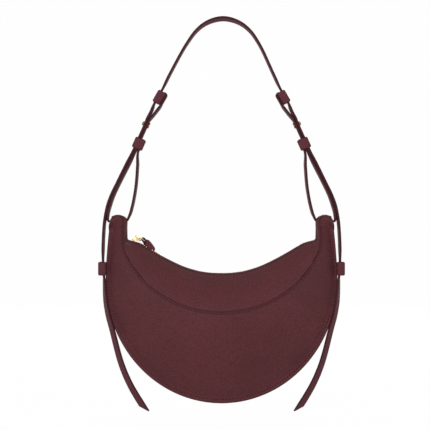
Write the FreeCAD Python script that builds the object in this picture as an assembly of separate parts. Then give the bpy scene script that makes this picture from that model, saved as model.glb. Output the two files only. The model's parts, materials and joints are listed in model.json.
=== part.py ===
import FreeCAD, Part
import math
import os
from FreeCAD import Vector

# Half moon shoulder bag, millimetres.
# X runs across the bag, -Y is its front, +Z is up.
# The origin is the underside of the strap at the top of its arch.

# Leather and lining
PANEL_THICK = 1.8
LINING_THICK = 0.8
STRAP_WIDTH = 9.0
STRAP_THICK = 2.4
KEEPER_WALL = 1.8
CLEARANCE = 0.3

# Bag body, front view
BODY_HALF_WIDTH = 127.4
BODY_WIDEST_Z = -285.0
BODY_LOWER_HEIGHT = 135.0
HORN_LEAN = 5.1
HORN_LEAN_POWER = 1.6
HORN_RISE = 67.0
HORN_WIDTH = 15.64
ZIP_LOW_Z = -276.4
SEAM_DROP = 41.5
SEAM_END_ANGLE = 55.0
SEAM_POWER = 0.8

# Bag body, depth
BODY_HALF_DEPTH = 36.0
HORN_HALF_DEPTH = 8.0
EDGE_FLAT = 6.0
EDGE_FLAT_SHARE = 0.3
CRESCENT_BULGE = 0.05
TOP_BULGE = 0.08

# Horn: angles are measured at the zip's centre, from straight down
HORN_START_ANGLE = 46.5
HORN_TIP_ANGLE = 59.3
HORN_CLOSE_ANGLE = 57.0
HORN_SIDE_ANGLE = 58.2
HORN_INNER_EDGE = [(46.5, 0.0), (49.0, 3.0), (51.5, 0.0), (54.0, -4.6)]
HORN_INNER_EDGE += [(56.0, -5.6), (57.2, -4.0), (58.3, -1.5), (59.3, 4.5)]
HORN_TIP_WIDTH = 4.5
HORN_TIP_BLUNT = 0.2
HORN_HALF_GAP = 0.8

# Tunnel of the hanger through each horn
TUNNEL_ANGLE = 52.75
TUNNEL_INSET = 0.67
TUNNEL_RADIUS = math.hypot(STRAP_WIDTH / 2, STRAP_THICK / 2) + CLEARANCE
TUNNEL_MOUTH_SPREAD = 4.2

# Zip
ZIP_HALF_GAP = 4.6
ZIP_SLOPE = 35.0
ZIP_EDGE_RUN = 8.0
ZIP_EDGE_SHARE = 0.45
TAPE_WIDTH = 9.0
TAPE_THICK = 0.6
TAPE_SHOW = 1.2
CHAIN_END_ANGLE = 45.8
TOOTH_PITCH = 2.5
TOOTH_LENGTH = 1.2
TOOTH_HEIGHT = 2.6
TOOTH_REACH = 1.5
CHAIN_GAP = 1.1
STOP_ANGLE = 0.5
SLIDER_ANGLE = -43.6
SLIDER_LENGTH = 8.0
SLIDER_WIDTH = 7.6
SLIDER_PLATE = 1.3
BRIDGE_LENGTH = 6.4
BRIDGE_WIDTH = 2.4
BRIDGE_BAR = 1.2
PULLER_WIRE = 1.4
PULLER_LENGTH = 5.6
PULLER_WIDTH = 5.2
PULLER_LIFT = 20.0
TAB_LENGTH = 18.0
TAB_WIDTH = 7.0
TAB_THICK = 3.6
TAB_DROOP = 17.0

# Strap layers at the keepers: centre of the keeper, and its tilt from upright
UPPER_KEEPER_X = 66.9
UPPER_KEEPER_Z = -83.6
UPPER_KEEPER_TILT = 30.0
UPPER_KEEPER_LENGTH = 13.0
LOWER_KEEPER_X = 90.8
LOWER_KEEPER_Z = -134.6
LOWER_KEEPER_TILT = 24.0
LOWER_KEEPER_LENGTH = 12.4
LAYER_STEP = STRAP_THICK + CLEARANCE
FOLD_STEP = STRAP_THICK + KEEPER_WALL + 2 * CLEARANCE

# Routes of the strap's loose stretches, as shares across and down from one fixed end to the other
ARCH_SHARES = [(0.182, 0.024), (0.334, 0.081), (0.456, 0.166)]
ARCH_SHARES += [(0.536, 0.251), (0.661, 0.422), (0.861, 0.762)]
STRAP_MIDDLE_SHARES = [(0.432, 0.491)]
STRAP_SIDE_SHARES = [(0.182, 0.105), (0.557, 0.316), (0.739, 0.421), (0.870, 0.528), (0.963, 0.694)]
HANGER_MIDDLE_SHARES = [(0.5, 0.5)]
HANGER_OUTER_SHARES = [(0.200, 0.160), (0.632, 0.480), (0.835, 0.642), (0.955, 0.771), (1.045, 0.905)]
HANGER_INNER_SHARES = [(0.320, 0.079), (0.539, 0.214), (0.719, 0.385), (0.832, 0.545), (0.919, 0.776)]
TAIL_SHARES = [(0.026, 0.045), (0.036, 0.090), (0.048, 0.136), (0.067, 0.190), (0.127, 0.289)]
TAIL_SHARES += [(0.214, 0.387), (0.430, 0.645), (0.660, 0.819)]
TAIL_SWEEP = 45.5
TAIL_DROP = 143.5
TAIL_TWIST = 60.0
TAIL_SLANT = -5.0

# Side keepers, which hold the strap on the bag's edge
SIDE_KEEPER_RISE = 13.0
SIDE_KEEPER_LENGTH = 15.0
SIDE_KEEPER_BACK = 1.2
SIDE_KEEPER_SLACK = 1.5
TAIL_HINGE_BELOW_KEEPER = 3.0

# Studs
STUD_ABOVE_KEEPER = 22.5
STUD_POST_RADIUS = 1.6
STUD_HEAD_RADIUS = 2.6
STUD_HEAD_THICK = 0.7
STUD_CAP_RADIUS = 1.5
STUD_CAP_HEIGHT = 1.3
SCREW_RADIUS = 0.9
SCREW_DISC_RADIUS = 3.4
SCREW_DISC_THICK = 1.2
SCREW_FIT = 0.05

# Slip pocket on the back lining: shares of the lining's arc and half its spread
POCKET_LOW_SHARE = 0.30
POCKET_HIGH_SHARE = 0.72
POCKET_HALF_ANGLE = 20.0
POCKET_THICK = 0.8

SAMPLES_PER_SPAN = 8
LEFT, RIGHT = -1, 1
SIDE_NAMES = {LEFT: "left", RIGHT: "right"}
ZIP_END_X = BODY_HALF_WIDTH - HORN_LEAN - HORN_WIDTH
ZIP_RADIUS = ZIP_END_X / math.sin(math.radians(TUNNEL_ANGLE))
ZIP_CENTRE_Z = ZIP_LOW_Z + ZIP_RADIUS
TUNNEL_DROP = ZIP_RADIUS * math.cos(math.radians(TUNNEL_ANGLE))
TUNNEL_Z = ZIP_CENTRE_Z - TUNNEL_DROP
BODY_STATIONS = [0.0, 5.0, 10.0, 15.0, 20.0, 25.0, 30.0, 35.0, 39.0, 43.0]
HORN_STATIONS = [46.5, 48.0, 49.5, 51.0, 52.5, 54.0, 55.5, 57.0, 58.2, HORN_TIP_ANGLE]
SIDE_STEPS = 8
STATIONS = BODY_STATIONS + HORN_STATIONS


def side_x(z):
    rise = max(0.0, z - BODY_WIDEST_Z) / HORN_RISE
    return BODY_HALF_WIDTH - HORN_LEAN * rise ** HORN_LEAN_POWER


SIDE_KEEPER_Z = BODY_WIDEST_Z + SIDE_KEEPER_RISE
SIDE_KEEPER_LOW_Z = SIDE_KEEPER_Z - SIDE_KEEPER_LENGTH / 2
SIDE_KEEPER_INNER_X = side_x(SIDE_KEEPER_LOW_Z) + CLEARANCE
SIDE_STRAP_X = SIDE_KEEPER_INNER_X + SIDE_KEEPER_BACK + CLEARANCE + STRAP_THICK / 2
TAIL_HINGE_Z = SIDE_KEEPER_LOW_Z - TAIL_HINGE_BELOW_KEEPER


def save(name, shape):
    shape.exportStep(f"parts/{name}.step")
    print(f"{name}: {len(shape.Solids)} solid(s), {shape.Volume:.0f} mm3, valid {shape.isValid()}")


# Body section, drawn on spokes from the zip's centre: each point is (radius, y)
def spoke(angle, point):
    turn = math.radians(angle)
    radius, y = point
    return Vector(radius * math.sin(turn), y, ZIP_CENTRE_Z - radius * math.cos(turn))


def between(pairs, value):
    for (low, low_result), (high, high_result) in zip(pairs, pairs[1:]):
        if value <= high:
            share = max(0.0, (value - low) / (high - low))
            return low_result + share * (high_result - low_result)
    return pairs[-1][1]


def tip_share(angle, start):
    past = max(0.0, abs(angle) - start) / (HORN_TIP_ANGLE + HORN_TIP_BLUNT - start)
    return math.sqrt(1.0 - past * past)


def inner_radius(angle):
    return ZIP_RADIUS + between(HORN_INNER_EDGE, abs(angle))


def outer_radius(angle):
    sine = math.sin(math.radians(abs(angle)))
    cosine = math.cos(math.radians(angle))
    rise = ZIP_CENTRE_Z - BODY_WIDEST_Z
    if math.atan2(BODY_HALF_WIDTH, rise) > math.radians(abs(angle)):
        square = (sine / BODY_HALF_WIDTH) ** 2 + (cosine / BODY_LOWER_HEIGHT) ** 2
        half = rise * cosine / BODY_LOWER_HEIGHT ** 2
        rest = (rise / BODY_LOWER_HEIGHT) ** 2 - 1.0
        return (half + math.sqrt(half * half - square * rest)) / square
    side = BODY_HALF_WIDTH / sine
    for _ in range(SIDE_STEPS):
        side = side_x(ZIP_CENTRE_Z - side * cosine) / sine
    tip = inner_radius(angle) + HORN_TIP_WIDTH
    return tip + (side - tip) * tip_share(angle, HORN_SIDE_ANGLE)


def seam_radius(angle):
    share = max(0.0, 1.0 - (angle / SEAM_END_ANGLE) ** 2)
    return inner_radius(angle) + SEAM_DROP * share ** SEAM_POWER


def half_depth(angle):
    spread = max(0.0, 1.0 - (angle / SEAM_END_ANGLE) ** 2)
    depth = HORN_HALF_DEPTH + (BODY_HALF_DEPTH - HORN_HALF_DEPTH) * spread
    return max(PANEL_THICK + HORN_HALF_GAP + CLEARANCE, depth * tip_share(angle, HORN_CLOSE_ANGLE))


def mouth_opening(angle):
    mouth_angle = math.degrees(math.atan2(side_x(TUNNEL_Z), TUNNEL_DROP))
    past = (abs(angle) - mouth_angle) / TUNNEL_MOUTH_SPREAD
    if abs(past) > 1.0:
        return 0.0
    return TUNNEL_RADIUS * math.cos(past * math.pi / 2) ** 2


def horn_share(angle):
    past = (abs(angle) - HORN_START_ANGLE) / (SEAM_END_ANGLE - HORN_START_ANGLE)
    return min(1.0, max(0.0, past))


def shift(point, direction, length):
    return (point[0] + direction[0] * length, point[1] + direction[1] * length)


def bulged(start, end, share):
    outward = (end[1] - start[1], start[0] - end[0])
    if outward[0] + outward[1] > 0:
        outward = (-outward[0], -outward[1])
    middle = ((start[0] + end[0]) / 2, (start[1] + end[1]) / 2)
    return shift(middle, outward, share)


def arc_edge(angle, start, end, share):
    points = [spoke(angle, start), spoke(angle, bulged(start, end, share)), spoke(angle, end)]
    return Part.Arc(*points).toShape()


def line_edge(angle, start, end):
    return Part.LineSegment(spoke(angle, start), spoke(angle, end)).toShape()


def seam_points(angle, side):
    radius = seam_radius(angle) + side * CLEARANCE
    depth = half_depth(angle)
    inward = (horn_share(angle), 1.0)
    outer = (radius, -depth)
    return outer, shift(outer, inward, PANEL_THICK)


def zip_edge(angle):
    share = horn_share(angle)
    slope = math.radians(ZIP_SLOPE * (1.0 - share))
    along = (math.sin(slope), -math.cos(slope))
    inward = (math.cos(slope), math.sin(slope))
    gap = ZIP_HALF_GAP + (HORN_HALF_GAP - ZIP_HALF_GAP) * min(1.0, 2.0 * share)
    return (inner_radius(angle), -gap), along, inward


def edge_flat(angle):
    return min(EDGE_FLAT, EDGE_FLAT_SHARE * (outer_radius(angle) - seam_points(angle, 1)[0][0]))


def crescent_section(angle):
    outer = outer_radius(angle)
    seam_out, seam_in = seam_points(angle, 1)
    flat = edge_flat(angle)
    edge_in = -CLEARANCE / 2 - mouth_opening(angle)
    edge_out = edge_in - PANEL_THICK
    edges = [
        line_edge(angle, (outer, edge_out), (outer - flat, edge_out)),
        arc_edge(angle, (outer - flat, edge_out), seam_out, CRESCENT_BULGE),
        line_edge(angle, seam_out, seam_in),
        arc_edge(angle, seam_in, (outer - flat, edge_in), CRESCENT_BULGE),
        line_edge(angle, (outer - flat, edge_in), (outer, edge_in)),
        line_edge(angle, (outer, edge_in), (outer, edge_out)),
    ]
    return Part.Wire(edges)


def top_section(angle):
    seam_out, seam_in = seam_points(angle, -1)
    edge, along, inward = zip_edge(angle)
    reach = min(ZIP_EDGE_RUN, ZIP_EDGE_SHARE * math.dist(seam_out, edge))
    knee = shift(edge, along, reach)
    edge_in = shift(edge, inward, PANEL_THICK)
    knee_in = shift(knee, inward, PANEL_THICK)
    edges = [
        arc_edge(angle, seam_out, knee, TOP_BULGE),
        line_edge(angle, knee, edge),
        line_edge(angle, edge, edge_in),
        line_edge(angle, edge_in, knee_in),
        arc_edge(angle, knee_in, seam_in, TOP_BULGE),
        line_edge(angle, seam_in, seam_out),
    ]
    return Part.Wire(edges)


def lining_points(angle):
    seam_in = seam_points(angle, 1)[1]
    start = (outer_radius(angle) - edge_flat(angle), -CLEARANCE / 2)
    reach = (2 * CLEARANCE + 2 * LINING_THICK) * (start[0] - seam_in[0]) / (start[1] - seam_in[1])
    low = (start[0] - reach, -CLEARANCE - LINING_THICK)
    corner = (seam_in[0], seam_in[1] + 2 * CLEARANCE)
    edge, along, inward = zip_edge(angle)
    under_tape = shift(edge, inward, PANEL_THICK + 2 * CLEARANCE)
    top = shift(under_tape, along, TAPE_WIDTH - TAPE_SHOW + CLEARANCE)
    return low, corner, top, inward


def lining_section(angle):
    low, corner, top, inward = lining_points(angle)
    low_in = shift(low, (0.0, 1.0), LINING_THICK)
    corner_in = shift(corner, (0.0, 1.0), LINING_THICK)
    top_in = shift(top, inward, LINING_THICK)
    edges = [
        arc_edge(angle, low, corner, CRESCENT_BULGE),
        arc_edge(angle, corner, top, TOP_BULGE),
        line_edge(angle, top, top_in),
        arc_edge(angle, top_in, corner_in, TOP_BULGE),
        arc_edge(angle, corner_in, low_in, CRESCENT_BULGE),
        line_edge(angle, low_in, low),
    ]
    return Part.Wire(edges)


def pocket_section(angle):
    low, corner = lining_points(angle)[:2]
    middle = bulged(low, corner, CRESCENT_BULGE)
    arc = Part.Arc(spoke(angle, low), spoke(angle, middle), spoke(angle, corner))
    first, last = arc.FirstParameter, arc.LastParameter
    away = Vector(0, LINING_THICK + CLEARANCE, 0)
    lower = arc.value(first + POCKET_LOW_SHARE * (last - first)) + away
    upper = arc.value(first + POCKET_HIGH_SHARE * (last - first)) + away
    thick = Vector(0, POCKET_THICK, 0)
    return Part.makePolygon([lower, upper, upper + thick, lower + thick, lower])


def both_sides(angles):
    return [-angle for angle in reversed(angles[1:])] + angles


def mirror_back(shape):
    return shape.mirror(Vector(0, 0, 0), Vector(0, 1, 0))


def loft(section, angles):
    return Part.makeLoft([section(angle) for angle in both_sides(angles)], True, True)


def tunnel_cut(shape):
    length = 2 * (SIDE_STRAP_X + STRAP_WIDTH)
    bore = Part.makeCylinder(TUNNEL_RADIUS, length, Vector(-length / 2, 0, TUNNEL_Z), Vector(1, 0, 0))
    return shape.cut(bore)


def make_body():
    crescent = tunnel_cut(loft(crescent_section, STATIONS))
    save("front_crescent_panel", crescent)
    save("back_crescent_panel", mirror_back(crescent))
    top = tunnel_cut(loft(top_section, STATIONS))
    save("front_top_panel", top)
    save("back_top_panel", mirror_back(top))
    inside = [angle for angle in STATIONS if angle < HORN_START_ANGLE]
    lining = loft(lining_section, inside)
    save("front_lining", lining)
    save("back_lining", mirror_back(lining))
    spread = [POCKET_HALF_ANGLE * share / 4 for share in range(5)]
    save("inner_pocket", mirror_back(loft(pocket_section, spread)))


# Zip: everything follows one arc about the zip's centre
def swept(points, start, end):
    face = Part.Face(Part.makePolygon([spoke(start, point) for point in points + points[:1]]))
    return face.revolve(Vector(0, 0, ZIP_CENTRE_Z), Vector(0, -1, 0), end - start)


def rectangle(radius_low, radius_high, y_low, y_high):
    return [(radius_low, y_low), (radius_high, y_low), (radius_high, y_high), (radius_low, y_high)]


def arc_angle(length):
    return math.degrees(length / ZIP_RADIUS)


def tape():
    edge, along, inward = zip_edge(0.0)
    top = shift(shift(edge, inward, PANEL_THICK + CLEARANCE), along, -TAPE_SHOW)
    far = shift(top, along, TAPE_WIDTH)
    section = [top, far, shift(far, inward, TAPE_THICK), shift(top, inward, TAPE_THICK)]
    return swept(section, -CHAIN_END_ANGLE, CHAIN_END_ANGLE)


def tooth_radii():
    return ZIP_RADIUS + CLEARANCE, ZIP_RADIUS + CLEARANCE + TOOTH_HEIGHT


def teeth(offset):
    low, high = tooth_radii()
    section = rectangle(low, high, -CHAIN_GAP / 2 - TOOTH_REACH, -CHAIN_GAP / 2)
    step = arc_angle(TOOTH_PITCH)
    length = arc_angle(TOOTH_LENGTH)
    count = int((2 * CHAIN_END_ANGLE - offset * step) / step)
    first = -CHAIN_END_ANGLE + offset * step
    starts = [first + step * i for i in range(count)]
    return Part.makeCompound([swept(section, start, start + length) for start in starts])


def stops():
    low, high = tooth_radii()
    section = rectangle(low - CLEARANCE, high, -ZIP_HALF_GAP / 2, ZIP_HALF_GAP / 2)
    length = arc_angle(TOOTH_PITCH)
    start = CHAIN_END_ANGLE + STOP_ANGLE
    left = swept(section, -start - length, -start)
    right = swept(section, start, start + length)
    return Part.makeCompound([left, right])


def slider_point(along, height):
    return Vector(along, 0, ZIP_CENTRE_Z - ZIP_RADIUS + height)


def on_chain(shape):
    moved = shape.copy()
    moved.rotate(Vector(0, 0, ZIP_CENTRE_Z), Vector(0, 1, 0), -SLIDER_ANGLE)
    return moved


def centred_box(length, width, height, along, low):
    corner = slider_point(along - length / 2, low) - Vector(0, width / 2, 0)
    return Part.makeBox(length, width, height, corner)


PULLER_ALONG = 0.8
PULLER_HEIGHT = CLEARANCE + SLIDER_PLATE + CLEARANCE + PULLER_WIRE / 2


def slider():
    under = -CLEARANCE - TOOTH_HEIGHT - 2 * CLEARANCE - SLIDER_PLATE
    top = centred_box(SLIDER_LENGTH, SLIDER_WIDTH, SLIDER_PLATE, 0, CLEARANCE)
    bottom = centred_box(SLIDER_LENGTH, SLIDER_WIDTH, SLIDER_PLATE, 0, under)
    web_height = CLEARANCE - under
    web = centred_box(SLIDER_LENGTH / 2, CHAIN_GAP - 2 * CLEARANCE, web_height, -SLIDER_LENGTH / 4, under)
    window = PULLER_WIRE + 2 * CLEARANCE
    foot = CLEARANCE + SLIDER_PLATE
    bridge = centred_box(BRIDGE_LENGTH, BRIDGE_WIDTH, window + BRIDGE_BAR, 0, foot)
    hole = centred_box(BRIDGE_LENGTH - 2 * BRIDGE_BAR, BRIDGE_WIDTH, window, 0, foot)
    return on_chain(top.fuse([bottom, web, bridge.cut(hole)]).removeSplitter())


def lifted(shape):
    moved = shape.copy()
    moved.rotate(slider_point(PULLER_ALONG, PULLER_HEIGHT), Vector(0, 1, 0), -PULLER_LIFT)
    return moved


def puller():
    radius = PULLER_WIRE / 2
    half = PULLER_WIDTH / 2
    near = slider_point(PULLER_ALONG, PULLER_HEIGHT)
    far = near + Vector(PULLER_LENGTH, 0, 0)
    wire = []
    for end in (near, far):
        wire.append(Part.makeCylinder(radius, PULLER_WIDTH, end - Vector(0, half, 0), Vector(0, 1, 0)))
    for side in (-half, half):
        wire.append(Part.makeCylinder(radius, PULLER_LENGTH, near + Vector(0, side, 0), Vector(1, 0, 0)))
        for end in (near, far):
            wire.append(Part.makeSphere(radius, end + Vector(0, side, 0)))
    return on_chain(lifted(wire[0].fuse(wire[1:])))


def pull_tab():
    bar = slider_point(PULLER_ALONG + PULLER_LENGTH, PULLER_HEIGHT)
    eye_radius = TAB_THICK / 2
    neck_half = PULLER_WIDTH / 2 - PULLER_WIRE / 2 - CLEARANCE
    eye = Part.makeCylinder(eye_radius, 2 * neck_half, bar - Vector(0, neck_half, 0), Vector(0, 1, 0))
    neck_length = PULLER_WIRE / 2 + 2 * CLEARANCE + eye_radius
    corner = bar - Vector(0, neck_half, eye_radius)
    neck = Part.makeBox(neck_length, 2 * neck_half, TAB_THICK, corner)
    body_corner = bar + Vector(neck_length, -TAB_WIDTH / 2, -eye_radius)
    body = Part.makeBox(TAB_LENGTH - neck_length, TAB_WIDTH, TAB_THICK, body_corner)
    hole_radius = PULLER_WIRE / 2 + CLEARANCE
    hole = Part.makeCylinder(hole_radius, TAB_WIDTH, bar - Vector(0, TAB_WIDTH / 2, 0), Vector(0, 1, 0))
    tab = eye.fuse([neck, body]).removeSplitter().cut(hole)
    tab.rotate(bar, Vector(0, 1, 0), TAB_DROOP)
    return on_chain(lifted(tab))


def make_zip():
    front_tape = tape()
    save("zip_tape_front", front_tape)
    save("zip_tape_back", mirror_back(front_tape))
    save("zip_teeth_front", teeth(0.0))
    save("zip_teeth_back", mirror_back(teeth(0.5)))
    save("zip_stops", stops())
    save("zip_slider", slider())
    save("zip_puller", puller())
    save("zip_pull_tab", pull_tab())


# Straps: flat bands, edge on to the front, whose width runs along Y
def route(start, end, shares):
    span = end - start
    return [start + Vector(across * span.x, 0, down * span.z) for across, down in shares]


def keeper_axes(tilt):
    turn = math.radians(tilt)
    return Vector(math.sin(turn), 0, -math.cos(turn)), Vector(math.cos(turn), 0, math.sin(turn))


def on_layer(centre, tilt, layer, down):
    along, across = keeper_axes(tilt)
    return centre + across * (layer * LAYER_STEP) + along * down


UPPER_CENTRE = Vector(UPPER_KEEPER_X, 0, UPPER_KEEPER_Z)
LOWER_CENTRE = Vector(LOWER_KEEPER_X, 0, LOWER_KEEPER_Z)
UPPER_RUN = UPPER_KEEPER_LENGTH / 2 + CLEARANCE
LOWER_RUN = LOWER_KEEPER_LENGTH / 2 + CLEARANCE
STUD_RUN = STUD_ABOVE_KEEPER + SCREW_DISC_RADIUS


def upper_layer(layer, down):
    return on_layer(UPPER_CENTRE, UPPER_KEEPER_TILT, layer, down)


def lower_layer(layer, down):
    return on_layer(LOWER_CENTRE, LOWER_KEEPER_TILT, layer, down)


def direction(stretches, index, fallback):
    if 0 <= index < len(stretches) and len(stretches[index]) == 2:
        return (stretches[index][1] - stretches[index][0]).normalize()
    return fallback


def smooth_line(points, start, end):
    spans = [(after - before).Length for before, after in zip(points, points[1:])]
    slopes = [start]
    for i in range(1, len(points) - 1):
        slopes.append((points[i + 1] - points[i - 1]) * (1.0 / (spans[i - 1] + spans[i])))
    slopes.append(end)
    line = []
    for i, span in enumerate(spans):
        for step in range(SAMPLES_PER_SPAN + (i == len(spans) - 1)):
            t = step / SAMPLES_PER_SPAN
            place = points[i] * (2 * t ** 3 - 3 * t ** 2 + 1) + points[i + 1] * (3 * t ** 2 - 2 * t ** 3)
            place += slopes[i] * (span * (t ** 3 - 2 * t ** 2 + t))
            place += slopes[i + 1] * (span * (t ** 3 - t ** 2))
            along = (points[i + 1] - points[i]) * (6 * t - 6 * t ** 2)
            along += slopes[i] * (span * (3 * t ** 2 - 4 * t + 1))
            along += slopes[i + 1] * (span * (3 * t ** 2 - 2 * t))
            line.append((place, along.normalize()))
    return line


def stretch_line(stretches, index):
    points = stretches[index]
    start = (points[1] - points[0]).normalize()
    end = (points[-1] - points[-2]).normalize()
    if len(points) == 2:
        return [(points[0], start), (points[1], end)]
    start = direction(stretches, index - 1, start)
    end = direction(stretches, index + 1, end)
    return smooth_line(points, start, end)


def side_edge(line, offset):
    points = [place + Vector(-along.z, 0, along.x) * offset for place, along in line]
    if len(points) == 2:
        return Part.LineSegment(*points).toShape(), points
    edge = Part.BSplineCurve()
    edge.interpolate(Points=points)
    return edge.toShape(), points


def band(stretches):
    edges = []
    ends = []
    for offset in (STRAP_THICK / 2, -STRAP_THICK / 2):
        row = []
        for index in range(len(stretches)):
            edge, sampled = side_edge(stretch_line(stretches, index), offset)
            edges.append(edge)
            row += [sampled[0], sampled[-1]]
        ends.append((row[0], row[-1]))
    for pair in zip(*ends):
        edges.append(Part.LineSegment(*pair).toShape())
    wire = Part.Wire(Part.__sortEdges__(edges))
    face = Part.Face(wire)
    return face.extrude(Vector(0, STRAP_WIDTH, 0)).translated(Vector(0, -STRAP_WIDTH / 2, 0))


def mirror_x(points):
    return [Vector(-point.x, point.y, point.z) for point in reversed(points)]


def to_side(shape, side):
    return shape if side == RIGHT else shape.mirror(Vector(0, 0, 0), Vector(1, 0, 0))


def strap_stretches():
    side_top = Vector(SIDE_STRAP_X, 0, SIDE_KEEPER_Z + SIDE_KEEPER_LENGTH / 2 + CLEARANCE)
    side_end = Vector(SIDE_STRAP_X, 0, TAIL_HINGE_Z)
    apex = Vector(0, 0, STRAP_THICK / 2)
    arch_end, upper_end = upper_layer(1, -UPPER_RUN), upper_layer(1, UPPER_RUN)
    stud_top, lower_end = lower_layer(1, -STUD_RUN), lower_layer(1, LOWER_RUN)
    arch = route(apex, arch_end, ARCH_SHARES) + [arch_end]
    right = [
        [arch_end, upper_end],
        [upper_end] + route(upper_end, stud_top, STRAP_MIDDLE_SHARES) + [stud_top],
        [stud_top, lower_end],
        [lower_end] + route(lower_end, side_top, STRAP_SIDE_SHARES) + [side_top],
        [side_top, side_end],
    ]
    left = [mirror_x(points) for points in reversed(right)]
    return left + [mirror_x(arch) + [apex] + arch] + right


def x_cylinder(radius, z):
    length = 2 * (SIDE_STRAP_X + STRAP_WIDTH)
    return Part.makeCylinder(radius, length, Vector(-length / 2, 0, z), Vector(1, 0, 0))


def y_cylinder(radius, x, z, length):
    return Part.makeCylinder(radius, length, Vector(x, -length / 2, z), Vector(0, 1, 0))


def above(z):
    span = 2 * (SIDE_STRAP_X + STRAP_WIDTH)
    return Part.makeBox(span, 2 * STRAP_WIDTH, span * 2, Vector(-span / 2, -STRAP_WIDTH, z))


def stud_axis_cylinder(radius, start, length):
    across = keeper_axes(LOWER_KEEPER_TILT)[1]
    return Part.makeCylinder(radius, length, lower_layer(0.5, -STUD_ABOVE_KEEPER) + across * start, across)


def stud_hole():
    return stud_axis_cylinder(STUD_POST_RADIUS + CLEARANCE, -2 * LAYER_STEP, 4 * LAYER_STEP)


def make_strap():
    whole = band(strap_stretches())
    knuckle = x_cylinder(STRAP_WIDTH / 2, TUNNEL_Z)
    strap = whole.common(above(TUNNEL_Z).fuse(knuckle))
    for side in (LEFT, RIGHT):
        strap = strap.cut(to_side(stud_hole(), side))
    save("shoulder_strap", strap)
    socket = x_cylinder(STRAP_WIDTH / 2 + CLEARANCE, TUNNEL_Z)
    runs = whole.cut(above(TUNNEL_Z)).cut(socket)
    for side in (LEFT, RIGHT):
        run = [solid for solid in runs.Solids if solid.CenterOfMass.x * side > 0][0]
        hinge = y_cylinder(STRAP_THICK / 2, side * SIDE_STRAP_X, TAIL_HINGE_Z, STRAP_WIDTH)
        save(f"{SIDE_NAMES[side]}_strap_run", run.fuse(hinge))


def tail_section(point, tangent, twist, slant):
    turn = math.radians(twist)
    flat_normal = Vector(-tangent.z, 0, tangent.x)
    wide = Vector(0, math.cos(turn), 0) + flat_normal * math.sin(turn)
    thick = tangent.cross(wide)
    corners = []
    for across, through in ((-1, -1), (1, -1), (1, 1), (-1, 1), (-1, -1)):
        corner = point + wide * (across * STRAP_WIDTH / 2) + thick * (through * STRAP_THICK / 2)
        corners.append(corner + tangent * (across * slant))
    return Part.makePolygon(corners)


def make_tails():
    start = Vector(SIDE_STRAP_X, 0, TAIL_HINGE_Z)
    tip = start - Vector(TAIL_SWEEP, 0, TAIL_DROP)
    points = [start] + route(start, tip, TAIL_SHARES) + [tip]
    tip_direction = (points[-1] - points[-2]).normalize()
    line = smooth_line(points, Vector(0, 0, -1), tip_direction)[::SAMPLES_PER_SPAN // 2]
    sections = []
    for i, (place, along) in enumerate(line):
        share = i / (len(line) - 1)
        slant = TAIL_SLANT if share == 1.0 else 0.0
        sections.append(tail_section(place, along, TAIL_TWIST * share ** 2, slant))
    tail = Part.makeLoft(sections, True, False)
    socket = y_cylinder(STRAP_THICK / 2 + CLEARANCE, SIDE_STRAP_X, TAIL_HINGE_Z, 2 * STRAP_WIDTH)
    tail = tail.cut(socket)
    for side in (LEFT, RIGHT):
        save(f"{SIDE_NAMES[side]}_tail", to_side(tail, side))


def fold_layer(offset, down):
    return upper_layer(-offset / LAYER_STEP, down)


def hanger_stretches():
    run_out = Vector(side_x(TUNNEL_Z) + CLEARANCE, 0, TUNNEL_Z)
    run_in = Vector(ZIP_END_X - TUNNEL_INSET, 0, TUNNEL_Z)
    fold_start, fold_end = fold_layer(FOLD_STEP, -UPPER_KEEPER_LENGTH / 2), fold_layer(FOLD_STEP, UPPER_RUN)
    stud_top = lower_layer(0, -STUD_RUN)
    outer_start, inner_end = lower_layer(0, LOWER_RUN), lower_layer(-1, LOWER_RUN)
    return [
        [fold_start, fold_end],
        [fold_end] + route(fold_end, stud_top, HANGER_MIDDLE_SHARES) + [stud_top],
        [stud_top, outer_start],
        [outer_start] + route(outer_start, run_out, HANGER_OUTER_SHARES) + [run_out],
        [run_out, run_in],
        [run_in] + route(run_in, inner_end, HANGER_INNER_SHARES) + [inner_end],
        [inner_end, lower_layer(-1, -LOWER_RUN)],
    ]


def half_ring(radius, centre):
    ring = Part.makeCylinder(radius, STRAP_WIDTH, Vector(0, -STRAP_WIDTH / 2, 0), Vector(0, 1, 0))
    corner = Vector(-2 * radius, -STRAP_WIDTH / 2, -2 * radius)
    lower = Part.makeBox(4 * radius, STRAP_WIDTH, 2 * radius, corner)
    half = ring.cut(lower)
    half.rotate(Vector(0, 0, 0), Vector(0, 1, 0), -UPPER_KEEPER_TILT)
    return half.translated(centre)


# The top end of the hanger folds over the inner wall of the upper keeper and ends inside it
def make_hangers():
    loop = band(hanger_stretches())
    fold_centre = fold_layer(FOLD_STEP / 2, -UPPER_KEEPER_LENGTH / 2)
    outside = half_ring((FOLD_STEP + STRAP_THICK) / 2, fold_centre)
    fold = outside.cut(half_ring((FOLD_STEP - STRAP_THICK) / 2, fold_centre))
    short_end = band([[upper_layer(0, -UPPER_KEEPER_LENGTH / 2), upper_layer(0, UPPER_KEEPER_LENGTH / 2)]])
    hanger = loop.fuse([fold, short_end]).cut(stud_hole())
    for side in (LEFT, RIGHT):
        save(f"{SIDE_NAMES[side]}_hanger", to_side(hanger, side))


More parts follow.
